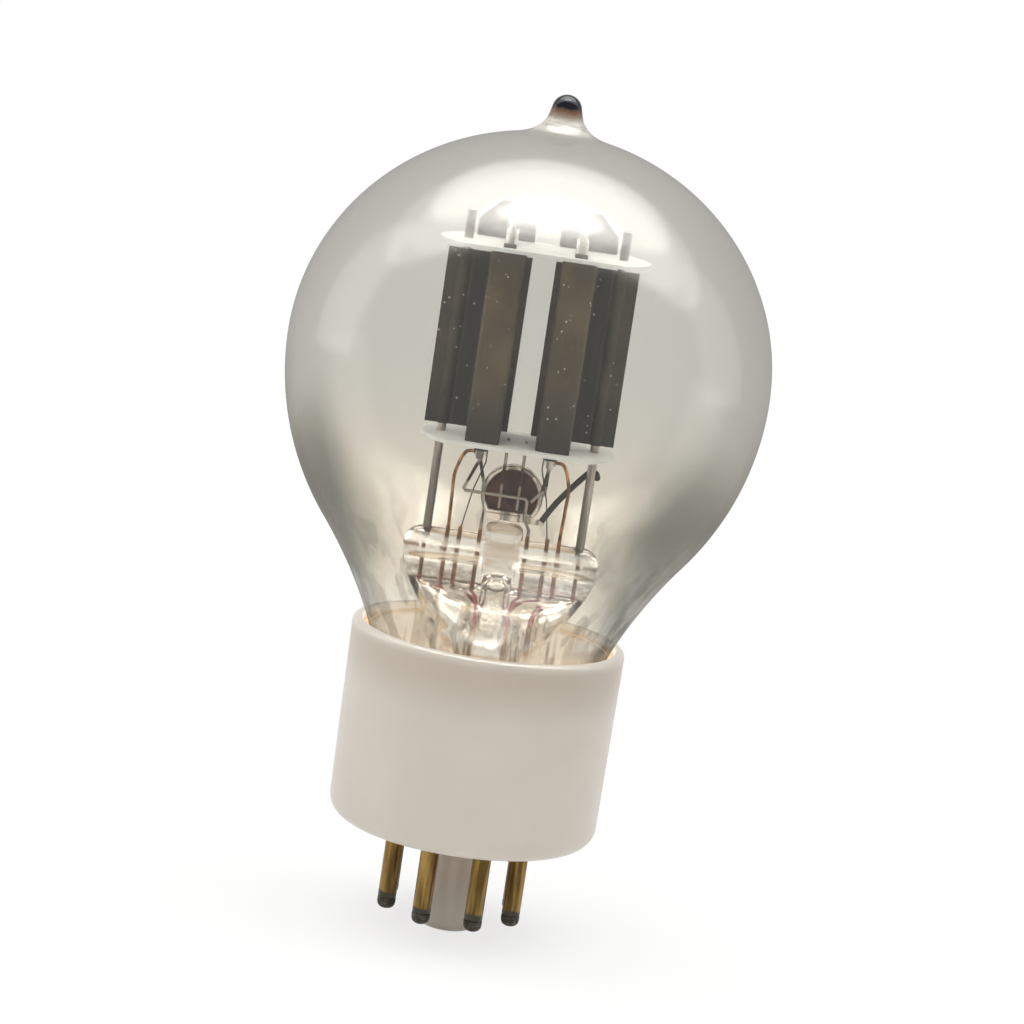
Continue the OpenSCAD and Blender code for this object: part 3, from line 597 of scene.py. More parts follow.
def bulb_finish():
    """Thin smoky glass, darker towards its outline, wavy at the neck and burnt at the tip; painted
    light clears it at the neck and in its lower half, painted reflections streak the neck dark, and
    painted shade darkens its right side
    """
    f = new_finish("smoky_glass")
    c = colours()
    z = f.height()
    x = f.along("X")
    facing = f.facing()
    waves = f.bump(f.noise(46.0, 2.0, (1.0, 1.0, 0.35)), 0.35, 0.0009)
    swirl = f.noise(130.0, 3.0, (1.0, 1.0, 0.09), 0.6)
    # Painted light: the lower half, and most of all the neck where it meets the base, let more and
    # warmer light through, so that they look brightly lit
    lit_lower_half = z.under(*LIT_LOWER_GLASS)
    neck = z.under(*NECK_GLASS)
    lit_neck_seat = z.under(*LIT_NECK_GLASS)
    # Painted reflection: dark streaks in the neck
    streaks = neck * swirl.zone(0.35, 0.38, 0.44, 0.47) * 0.75
    low_side = z.under(*LOW_GLASS)
    # Painted shade: the outline is darker on the right side, more so towards the right
    right_shade = 0.16 * x.step(*RIGHT_SHADE_ACROSS) - 0.05
    edge = (facing - 0.25 * neck + right_shade).step(0.22, 0.52)
    edge = (facing ** (2.2 - x.step(*DARK_ACROSS))).most(low_side * edge)
    inside = f.rays("Shadow", "Diffuse", "Glossy", "Transmission")
    body = f.blend(lit_lower_half, f.clear(c.glass), f.clear(c.glass_low))
    body = f.blend(lit_neck_seat, body, f.clear(c.glass_neck))
    body = f.blend(streaks, body, f.clear(shade(c.glass_low, 0.6)))
    body = f.blend(edge, body, f.blend(low_side, f.clear(c.glass_edge), f.clear(c.low_edge)))
    body = f.blend(inside, body, f.clear((0.94, 0.93, 0.91)))
    drawn = z.zone(*TIP_RINGS) * f.radius().under(*RINGS_OUT)
    rings = f.noise(420.0, 2.0, (0.3, 0.3, 2.4), 0.6).step(0.42, 0.58)
    mirror = 0.036 + 0.04 * facing ** 3.0 + neck * (0.02 + 0.2 * swirl.step(0.5, 0.62))
    glass = f.blend(mirror * (1.0 - 0.8 * drawn), body, f.sheen(0.15, waves))
    milky = f.surface(Base_Color=c.drawn, Roughness=0.2)
    glass = f.blend(drawn * (0.2 + 0.4 * rings), glass, milky)
    tip = z + f.noise(700.0, 2.0) * 0.7
    burn = tip.step(*TIP_BURN)
    soot = f.surface(
        Base_Color=f.mix(burn, c.scorched, c.burnt), Roughness=0.1, Specular_IOR_Level=0.14
    )
    burnt_in = (tip.step(*TIP_SCORCH) * 0.8).most(burn)
    return f.show(f.blend(burnt_in, glass, soot))


def bulb_inner_finish():
    """Inner face of the bulb, which only adds its faint reflections"""
    f = new_finish("inner_glass")
    waves = f.bump(f.noise(52.0, 2.0, (1.0, 1.0, 0.35)), 0.35, 0.0009)
    mirror = 0.022 + 0.02 * f.facing() ** 3.0
    return f.show(f.blend(mirror, f.clear((0.99, 0.99, 0.985)), f.sheen(0.16, waves)))


def stem_finish():
    """Thick clear glass of a pressed stem, with painted reflections: bright mirror bands on the bar
    and bright folds at the pinch and the foot
    """
    f = new_finish("pressed_glass")
    z = f.height()
    side = f.along("X").size()
    bump = f.bump(f.noise(240.0, 2.0), 0.4, 0.0005)
    glass = f.surface(
        Base_Color=(0.975, 0.97, 0.955),
        Roughness=0.015,
        IOR=1.5,
        Specular_IOR_Level=0.6,
        Transmission_Weight=1.0,
        Coat_Weight=0.4,
        Coat_Roughness=0.02,
        Normal=bump,
    )
    smears = f.noise(330.0, 3.0, (0.35, 1.0, 1.0))
    folds = f.noise(300.0, 3.0, (1.0, 1.0, 0.45)).step(0.44, 0.54)
    # Painted reflections: two bands on the bar and the folds at the pinch and at the foot turn to
    # mirror in set places, to show bright reflections
    bands = z.zone(*UPPER_BAND).most(z.zone(*LOWER_BAND)) * side.step(2.4, 3.0)
    bands = bands * smears.step(0.3, 0.5)
    pinch = z.zone(*PINCH) * side.step(3.2, 4.6) * folds
    foot = z.under(*STEM_FOOT) * folds * 0.6
    mirror = (bands * 0.8).most(pinch * 0.75).most(foot)
    seal_line = z.zone(*SEAL_LINE) * side.step(2.6, 3.4)
    grains = f.noise(900.0, 3.0, (0.5, 1.0, 1.0)).step(0.42, 0.6)
    glass = f.blend(seal_line * grains * 0.5, glass, f.clear((0.36, 0.29, 0.23)))
    column = side.under(COLUMN_R - 0.5, COLUMN_R) * z.step(*COLUMN_FOOT)
    layers = f.noise(500.0, 3.0, (0.25, 0.25, 1.6))
    amber = f.clear((0.66, 0.55, 0.42))
    glass = f.blend(column * (0.1 + 0.5 * layers.step(0.4, 0.62)), glass, amber)
    glass = f.blend(mirror, glass, f.sheen(0.08, bump))
    return f.show(f.blend(f.rays("Shadow"), glass, f.clear((0.93, 0.92, 0.90))))


def mica_finish():
    f = new_finish("white_mica")
    c = colours().mica
    flakes = f.noise(260.0, 4.0)
    return f.show(f.surface(
        Base_Color=f.mix(flakes.step(0.35, 0.7), shade(c, 0.93), shade(c, 1.03)),
        Roughness=0.42 + 0.2 * flakes,
        Normal=f.bump(f.noise(800.0, 3.0), 0.12, 0.0002),
    ))


def metal_finish(name, colour, rough, shade_and_darkening=0.0):
    """Drawn metal with bright and dark streaks along the tube, partly drawing marks and oxide and
    partly a painted highlight and painted shade, and painted shade darkening it above the cage
    """
    f = new_finish(name)
    streaks = f.noise(800.0, 3.0, (1.0, 1.0, 0.08))
    # Streaks: partly drawing marks and oxide, partly a painted bright stripe and painted dark
    # flanks
    metal = f.mix(streaks.step(0.42, 0.6), shade(colour, 0.42), shade(colour, 1.4))
    # Painted shade: darker above the cage
    if shade_and_darkening:
        metal = f.mix(shade_and_darkening * f.height().step(*SHADE_ABOVE_CAGE), metal, shade(colour, 0.25))
    return f.show(f.surface(
        Base_Color=metal,
        Metallic=1.0,
        Roughness=rough + 0.15 * streaks,
    ))


def carbon_finish():
    """Dull carbonised sheet with pale specks, browner on the box fronts and lighter there as
    painted light, with painted shade in the recesses beside them, and darker towards the bottom
    """
    f = new_finish("carbon_skin")
    c = colours().carbon
    z = f.height()
    side = f.along("X").size()
    stain = f.noise(170.0, 4.0)
    dust = f.noise(1500.0, 3.0)
    dull = f.mix(stain.step(0.35, 0.7), shade(c, 0.8), (0.075, 0.058, 0.04))
    dull = f.mix(dust.step(0.55, 0.8) * 0.5, dull, shade(c, 2.2))
    # The box fronts are browner, and lighter as painted light
    box = side.under(*BOX_SIDE) * z.zone(*ANODE_BOX)
    dull = f.mix(box, dull, f.tinted(dull, (1.7, 1.6, 1.25)))
    # Painted shade in the recesses beside the boxes; the sheet is also darker towards the bottom
    shade_and_darkening = side.zone(*ANODE_RECESS).most(z.under(*ANODE_FOOT))
    dull = f.mix(shade_and_darkening * (0.4 + 0.8 * stain), dull, shade(c, 0.12))
    speck = f.specks(1000.0, 0.16) * f.noise(420.0, 2.0).step(0.54, 0.57)
    return f.show(f.surface(
        Base_Color=f.mix(speck * 0.8, dull, (0.62, 0.60, 0.55)),
        Roughness=0.58 + 0.2 * dust,
        Normal=f.bump(dust, 0.2, 0.0002),
    ))


def dull_finish(name, colour, rough=0.6):
    f = new_finish(name)
    grain = f.noise(1100.0, 4.0)
    return f.show(f.surface(
        Base_Color=f.mix(grain.step(0.3, 0.75), shade(colour, 0.7), shade(colour, 1.35)),
        Roughness=rough + 0.15 * grain,
        Normal=f.bump(grain, 0.25, 0.0002),
    ))


def powder_finish():
    """Fired getter powder in dark red patches"""
    f = new_finish("fired_powder")
    c = colours().powder
    patches = f.noise(330.0, 3.0)
    grain = f.noise(1100.0, 4.0)
    colour = f.mix(patches.step(0.45, 0.6), shade(c, 0.45), shade(c, 1.7))
    return f.show(f.surface(
        Base_Color=f.mix(grain.step(0.3, 0.75), f.tinted(colour, (0.7, 0.7, 0.7)), colour),
        Roughness=0.7 + 0.2 * grain,
        Normal=f.bump(grain, 0.3, 0.0002),
    ))


def lead_finish():
    """Copper lead with its red sealed length under the press"""
    f = new_finish("press_lead_wire")
    c = colours()
    red = f.height().zone(*SEALED_LEAD)
    streaks = f.noise(1200.0, 2.0, (1.0, 1.0, 0.1))
    metal = f.mix(streaks.step(0.3, 0.7), shade(c.copper, 0.5), c.copper)
    return f.show(f.surface(
        Base_Color=f.mix(red, metal, c.sealing),
        Metallic=1.0 - 0.85 * red,
        Roughness=0.32 + 0.15 * streaks,
    ))


def burnt_wire_finish(name):
    """Nickel wire with a dark burnt length where it is welded"""
    f = new_finish(name)
    c = colours()
    burn = f.height().zone(*WELD_BURN)
    return f.show(f.surface(
        Base_Color=f.mix(burn, shade(c.nickel, 0.75), (0.035, 0.018, 0.008)),
        Metallic=1.0 - 0.7 * burn,
        Roughness=0.34 + 0.2 * burn,
    ))


def floor_finish():
    """White floor that keeps the shadow under the tube and fades into the background"""
    f = new_finish("white_floor")
    seen = f.rays("Camera", "Glossy", "Transmission")
    glow = 0.72 + 0.28 * f.reach(f.spot()).step(*FLOOR_FADE)
    matt = f.surface(Base_Color=(0.9, 0.9, 0.9), Roughness=0.9)
    white = f.node("ShaderNodeEmission", None, WHITE, 1.0).outputs[0]
    return f.show(f.blend(seen * glow, matt, white))


def leave_edit():
    if bpy.context.mode != "OBJECT":
        bpy.ops.object.mode_set(mode="OBJECT")


def start():
    """Nothing selected, in object mode"""
    leave_edit()
    bpy.ops.object.select_all(action="DESELECT")


def pick(piece):
    """Only this piece selected, and active"""
    start()
    piece.select_set(True)
    bpy.context.view_layer.objects.active = piece


def named(piece, name):
    piece.name = name
    piece.data.name = name
    return piece


def finished(name, smooth=40.0):
    """Names the active piece and smooths it"""
    leave_edit()
    bpy.ops.object.shade_smooth_by_angle(angle=math.radians(smooth))
    return named(bpy.context.object, name)


def seal():
    """Merges doubles and turns the faces outwards, in edit mode"""
    bpy.ops.mesh.select_all(action="SELECT")
    bpy.ops.mesh.remove_doubles(threshold=1e-7)
    bpy.ops.mesh.normals_make_consistent(inside=False)


def draw_outline(points, closed):
    """Draws a chain of edges in x and z from one point, in edit mode"""
    start()
    bpy.ops.mesh.primitive_plane_add(size=MM)
    bpy.ops.object.mode_set(mode="EDIT")
    bpy.ops.mesh.select_mode(type="VERT")
    bpy.ops.mesh.select_all(action="SELECT")
    bpy.ops.mesh.merge(type="CENTER")
    spot = Vector((0, 0, 0))
    for i, (x, z) in enumerate(points):
        step = Vector((x, 0, z)) - spot
        if i == 0:
            bpy.ops.transform.translate(value=step)
        else:
            bpy.ops.mesh.extrude_region_move(TRANSFORM_OT_translate={"value": step})
        spot += step
    if closed:
        mesh = bmesh.from_edit_mesh(bpy.context.object.data)
        mesh.verts.ensure_lookup_table()
        mesh.edges.new((mesh.verts[0], mesh.verts[len(points) - 1]))
        bmesh.update_edit_mesh(bpy.context.object.data)
    bpy.ops.mesh.select_all(action="SELECT")


def turned(name, points, closed=False, steps=96, smooth=40.0):
    """A turned piece: its outline spun about the tube's axis"""
    draw_outline(points, closed)
    bpy.ops.mesh.spin(steps=steps, angle=math.tau, center=(0, 0, 0), axis=(0, 0, 1))
    seal()
    return finished(name, smooth)


def moved(piece, matrix):
    """Puts a piece in its place and keeps the place in its mesh"""
    pick(piece)
    piece.matrix_world = matrix
    bpy.ops.object.transform_apply(location=True, rotation=True, scale=True)
    return piece


def copied(piece, name, matrix):
    """A copy with a mesh of its own, in another place"""
    pick(piece)
    bpy.ops.object.duplicate()
    return moved(named(bpy.context.object, name), matrix)


def joined(pieces, name):
    pick(pieces[0])
    for piece in pieces[1:]:
        piece.select_set(True)
    bpy.ops.object.join()
    return named(pieces[0], name)


def wire(name, points, diameter, sides=3):
    """Round wire along a path"""
    start()
    bpy.ops.curve.primitive_nurbs_path_add()
    curve = bpy.context.object
    curve.data.splines.clear()
    spline = curve.data.splines.new("POLY")
    spline.points.add(len(points) - 1)
    for point, place in zip(spline.points, points):
        point.co = (*place, 1.0)
    curve.data.bevel_depth = diameter / 2
    curve.data.bevel_resolution = sides
    curve.data.use_fill_caps = True
    curve.location = (0, 0, 0)
    bpy.ops.object.convert(target="MESH")
    bpy.ops.object.mode_set(mode="EDIT")
    seal()
    return finished(name, 50.0)


def dress(piece, material, slot, *nodes):
    """Gives a piece its material and lets it stand for its solids"""
    piece.data.materials.clear()
    piece.data.materials.append(material)
    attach(piece, "root")
    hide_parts(*nodes)
    return piece


def paint(material, *nodes):
    """Gives solids that stay in view their material"""
    for node in nodes:
        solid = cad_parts[node]
        solid.data.materials.clear()
        solid.data.materials.append(material)


def evenly(a, b, steps):
    """Numbers from a to b, both included"""
    return [a + (b - a) * i / steps for i in range(steps + 1)]


def arc(centre, radius, a, b, steps=12):
    """Points of an arc from angle a to angle b, in degrees"""
    x, z = centre
    angles = [math.radians(turn) for turn in evenly(a, b, steps)]
    return [(x + radius * math.cos(t), z + radius * math.sin(t)) for t in angles]


def bend(a, b, c, steps=12):
    """Points of a curve from a to c that is drawn towards b"""
    return [
        tuple((1 - t) ** 2 * p + 2 * t * (1 - t) * q + t * t * r for p, q, r in zip(a, b, c))
        for t in evenly(0, 1, steps)
    ]


def smooth_path(points, steps=6):
    """Curve through the points"""
    p = [Vector(v) for v in points]
    out = []
    for i in range(len(p) - 1):
        a, b, c, d = p[max(i - 1, 0)], p[i], p[i + 1], p[min(i + 2, len(p) - 1)]
        for k in range(steps):
            t = k / steps
            out.append(b + t / 2 * (
                (c - a) + t * ((2 * a - 5 * b + 4 * c - d) + t * (3 * b - a - 3 * c + d))
            ))
    return out + [p[-1]]


def mm(points):
    return [tuple(v * MM for v in point) for point in points]


def round_rod(name, node, x, y, diameter=None):
    """Turned rod with rounded ends, in the place of its solid, in mm"""
    bottom, top = low(node), high(node)
    r = diameter / 2 if diameter else (top.x - bottom.x) / 2 / MM
    edge = ROD_EDGE * r
    outline = (
        [(0, bottom.z / MM)]
        + arc((r - edge, bottom.z / MM + edge), edge, -90, 0, 4)
        + arc((r - edge, top.z / MM - edge), edge, 0, 90, 4)
        + [(0, top.z / MM)]
    )
    rod = turned(name, mm(outline), steps=28)
    return moved(rod, Matrix.Translation((x * MM, y * MM, 0)))


def pin_place(number):
    """Turn and shift that put a pin in its place on the pin circle"""
    turn = Matrix.Rotation(math.tau * (number - 0.5) / PIN_COUNT, 4, "Z")
    return turn @ Matrix.Translation((sizes().pin_circle / 2, 0, 0))


def bulb_side(depth):
    """Outline of the bulb from the end of its neck to its widest point, sunk by depth, in mm"""
    s = sizes()
    globe_r = s.globe_r / MM
    globe_z = s.globe_z / MM
    shoulder = Vector((globe_r - SHOULDER_R, globe_z))
    rim = Vector((NECK_AT_RIM_R, RIM_Z))
    span = rim - shoulder
    reach = SHOULDER_R + HOLLOW_R
    along = (span.length ** 2 + reach ** 2 - HOLLOW_R ** 2) / (2 * span.length)
    across = math.sqrt(reach ** 2 - along ** 2)
    way = span.normalized()
    hollow = shoulder + along * way + across * Vector((-way.y, way.x))
    low_turn = math.degrees(math.atan2(shoulder.y - hollow.y, hollow.x - shoulder.x))
    rim_turn = math.degrees(math.atan2(rim.y - hollow.y, hollow.x - rim.x))
    neck_r = NECK_AT_RIM_R - NECK_BLEND_R * (1 - math.cos(math.radians(rim_turn)))
    neck = (neck_r + NECK_BLEND_R, RIM_Z - NECK_BLEND_R * math.sin(math.radians(rim_turn)))
    return (
        [(neck_r - depth, NECK_END_Z)]
        + arc(neck, NECK_BLEND_R + depth, 180, 180 - rim_turn, 6)
        + arc(hollow, HOLLOW_R + depth, 180 - rim_turn, 180 - low_turn, 20)[1:]
        + arc(shoulder, SHOULDER_R - depth, -low_turn, 0, 26)[1:]
    )


class TUBE_OT_camera(bpy.types.Operator):
    """Set the camera at the viewing angle, leaning so that the tube tilts"""

    bl_idname = "tube.camera"
    bl_label = "Camera"

    def execute(self, context):
        start()
        place = Vector(CAMERA_PLACE)
        aim = Vector(CAMERA_AIM) - place
        turn = aim.to_track_quat("-Z", "Y") @ Quaternion((0, 0, 1), CAMERA_ROLL)
        bpy.ops.object.camera_add(location=place, rotation=turn.to_euler())
        camera = context.object
        camera.data.lens = CAMERA_LENS
        camera.data.clip_start = CAMERA_NEAR
        context.scene.camera = camera
        return {"FINISHED"}


class TUBE_OT_stage(bpy.types.Operator):
    """Lay the white floor and hang the soft lamps"""

    bl_idname = "tube.stage"
    bl_label = "Stage"

    def execute(self, context):
        start()
        ground = low("base_shell").z - FLOOR_GAP
        bpy.ops.mesh.primitive_plane_add(size=FLOOR_SIZE, location=(0, 0, ground))
        floor = context.object
        floor.name = "floor"
        bpy.ops.object.transform_apply(location=True)
        floor.data.materials.append(floor_finish())
        for name, place, width, depth, power, use in LAMPS:
            aim = Vector(LAMP_AIM) - Vector(place)
            turn = aim.to_track_quat("-Z", "Y").to_euler()
            bpy.ops.object.light_add(type="AREA", location=place, rotation=turn)
            lamp = context.object
            lamp.name = name
            lamp.data.shape = "ELLIPSE"
            lamp.visible_diffuse = use != "shine"
            lamp.visible_glossy = use != "fill"
            lamp.data.size = width
            lamp.data.size_y = depth
            lamp.data.energy = power
        self.light_world(context.scene)
        context.scene.view_settings.view_transform = "Standard"
        return {"FINISHED"}

    def light_world(self, scene):
        """Soft light on the tube, and white behind it and in its reflections"""
        scene.world = bpy.data.worlds.new("studio")
        f = Finish(scene.world, "ShaderNodeOutputWorld")
        soft = f.node("ShaderNodeBackground", None, WORLD_TINT, WORLD_FILL).outputs[0]
        white = f.node("ShaderNodeBackground", None, WHITE, 1.0).outputs[0]
        f.show(f.blend(f.rays("Camera", "Glossy", "Transmission"), soft, white))


class TUBE_OT_base(bpy.types.Operator):
    """Turn the ceramic cup with its keyed spigot, and the cement ring in its rim"""

    bl_idname = "tube.base"
    bl_label = "Base and cement"

    def execute(self, context):
        s = sizes()
        rim_r = high("base_shell").x / MM
        foot_r = rim_r - BASE_DRAFT
        foot = s.foot_round / MM
        edge = s.rim_round / MM
        end = low("base_shell").z / MM
        inner = RIM_INNER_EDGE
        nose = (SPIGOT_R - SPIGOT_CHAMFER - SPIGOT_FACE_IN, end)
        bow = (SPIGOT_R - SPIGOT_BOW[0], end + SPIGOT_BOW[1])
        fillet = SPIGOT_R + SPIGOT_FILLET
        outline = (
            [(0, end)]
            + bend(nose, bow, (SPIGOT_R, end + SPIGOT_NOSE), 6)
            + bend((SPIGOT_R, -SPIGOT_FILLET), (SPIGOT_R, 0), (fillet, 0), 4)
            + arc((foot_r - foot, foot), foot, -90, 0, 14)
            + arc((rim_r - edge, RIM_Z - edge), edge, 0, 90, 8)
            + arc((CAVITY_R + inner, RIM_Z - inner), inner, 90, 180, 4)
            + [(CAVITY_R, BASE_FLOOR_Z), (0, BASE_FLOOR_Z)]
        )
        shell = turned("base_cup", mm(outline), steps=128, smooth=35.0)
        shell = joined([shell, self.key_rib(end)], "base_cup")
        dress(shell, ceramic_finish(), "ceramic", "base_shell")
        dress(self.cement_ring(), cement_finish(), "cement", "base_cement")
        return {"FINISHED"}

    def key_rib(self, end):
        """Locating rib on the spigot, with its long edges rounded"""
        start()
        top = -KEY_GAP
        bottom = end + SPIGOT_CHAMFER
        reach = (SPIGOT_R + KEY_OUT) / 2
        middle = Vector((0, reach, (top + bottom) / 2)) * MM
        bpy.ops.mesh.primitive_cube_add(size=1.0, location=middle)
        bpy.context.object.scale = Vector((KEY_W, 2 * reach, top - bottom)) * MM
        bpy.ops.object.transform_apply(location=True, rotation=True, scale=True)
        bpy.ops.object.mode_set(mode="EDIT")
        bpy.ops.mesh.select_all(action="SELECT")
        bpy.ops.mesh.bevel(offset=KEY_ROUND * MM, segments=3)
        return finished("key_rib")

    def cement_ring(self):
        """Ring of cement that sags between the neck and the rim"""
        top = high("base_cement").z / MM
        bottom = low("base_cement").z / MM
        side = bulb_side(-SEAT)
        inner = [p for p in side if bottom < p[1] < top]
        edge = inner[-1][0]
        outer = CAVITY_R - SEAT
        dip = ((CAVITY_R + edge) / 2, top - CEMENT_SAG)
        outline = (
            [(side[0][0], bottom), (outer, bottom)]
            + bend((outer, top), dip, (edge, top), 6)
            + list(reversed(inner[:-1]))
        )
        return turned("cement_ring", mm(outline), closed=True, steps=128)


class TUBE_OT_pins(bpy.types.Operator):
    """Set the eight brass pins with their solder tips"""

    bl_idname = "tube.pins"
    bl_label = "Pins"

    def execute(self, context):
        pin_r = sizes().pin_d / 2 / MM
        end = low("contact_pin_1").z / MM
        top = high("contact_pin_1").z / MM
        collar = BASE_FLOOR_Z + SEAT
        outline = [
            (PIN_BORE_R, end), (pin_r - PIN_TAPER, end), (pin_r, end + PIN_TAPER_H),
            (pin_r, PIN_EXIT_Z), (pin_r, collar),
            (COLLAR_R - COLLAR_EDGE, collar), (COLLAR_R, collar + COLLAR_EDGE),
            (COLLAR_R, collar + COLLAR_H), (pin_r, collar + COLLAR_H),
            (pin_r, top - PIN_TOP_EDGE), (pin_r - PIN_TOP_EDGE, top), (PIN_BORE_R, top),
        ]
        brass = brass_finish()
        first = turned("pin_1", mm(outline), closed=True, steps=40)
        for number in range(2, PIN_COUNT + 1):
            pin = copied(first, "pin_%d" % number, pin_place(number))
            dress(pin, brass, "pin_brass", "contact_pin_%d" % number)
        dress(moved(first, pin_place(1)), brass, "pin_brass", "contact_pin_1")
        self.solder(pin_r, end)
        return {"FINISHED"}

    def solder(self, pin_r, end):
        """A dome of solder on each pin, each a little different"""
        tip = low("solder_tips").z / MM
        plug = PIN_BORE_R - SEAT
        outline = (
            bend((0, tip), (pin_r * SOLDER_BOW, tip), (pin_r, tip + SOLDER_DOME), 10)
            + [(pin_r + SOLDER_SWELL, end - SOLDER_SWELL_DOWN), (pin_r - SOLDER_EDGE, end)]
            + [(plug, end), (plug, end + SOLDER_PLUG), (0, end + SOLDER_PLUG)]
        )
        first = turned("solder_1", mm(outline), steps=36)
        domes = []
        for number in range(2, PIN_COUNT + 1):
            turn = pin_place(number) @ Matrix.Rotation(2.4 * number, 4, "Z")
            domes.append(copied(first, "solder_%d" % number, turn))
        domes.insert(0, moved(first, pin_place(1)))
        dress(joined(domes, "solder_domes"), solder_finish(), "solder", "solder_tips")


class TUBE_OT_bulb(bpy.types.Operator):
    """Blow the glass globe with its neck and its drawn-off tip"""

    bl_idname = "tube.bulb"
    bl_label = "Bulb"

    def execute(self, context):
        s = sizes()
        globe_r = s.globe_r / MM
        globe_z = s.globe_z / MM
        tip_r = s.tip_d / 2 / MM
        top = high("bulb").z / MM
        crown = globe_z + globe_r - CROWN_DROP
        wall = s.glass_wall / MM
        turn = math.degrees(math.acos(TIP_FLARE / globe_r))
        dome = self.dome(globe_r, turn, 44)
        waist = (TIP_WAIST * tip_r, top - TIP_WAIST_DOWN * (top - crown + tip_r))
        foot = (TIP_FOOT * tip_r, crown - TIP_SINK)
        outside = (
            bulb_side(0)
            + dome
            + bend(dome[-1], foot, waist, 12)[1:]
            + arc((0, top - tip_r), tip_r, 8, 90, 12)
        )
        inside = bulb_side(wall) + self.dome(globe_r - wall, 90, 48)
        outline = list(reversed(outside)) + inside
        bulb = turned("glass_bulb", mm(outline), steps=144, smooth=60.0)
        dress(bulb, bulb_finish(), "bulb_glass", "bulb")
        bulb.data.materials.append(bulb_inner_finish())
        for face in bulb.data.polygons:
            if face.center.z < s.globe_z:
                out = Vector((face.center.x, face.center.y, 0))
            else:
                out = face.center - Vector((0, 0, s.globe_z))
            face.material_index = 1 if face.normal.dot(out) < 0 else 0
        return {"FINISHED"}

    def dome(self, radius, turn, steps):
        """Upper half of the globe, a little flatter than a ball"""
        z = sizes().globe_z / MM
        flat = 1 - CROWN_DROP / radius
        return [(x, z + flat * y) for x, y in arc((0, 0), radius, 0, turn, steps)[1:]]


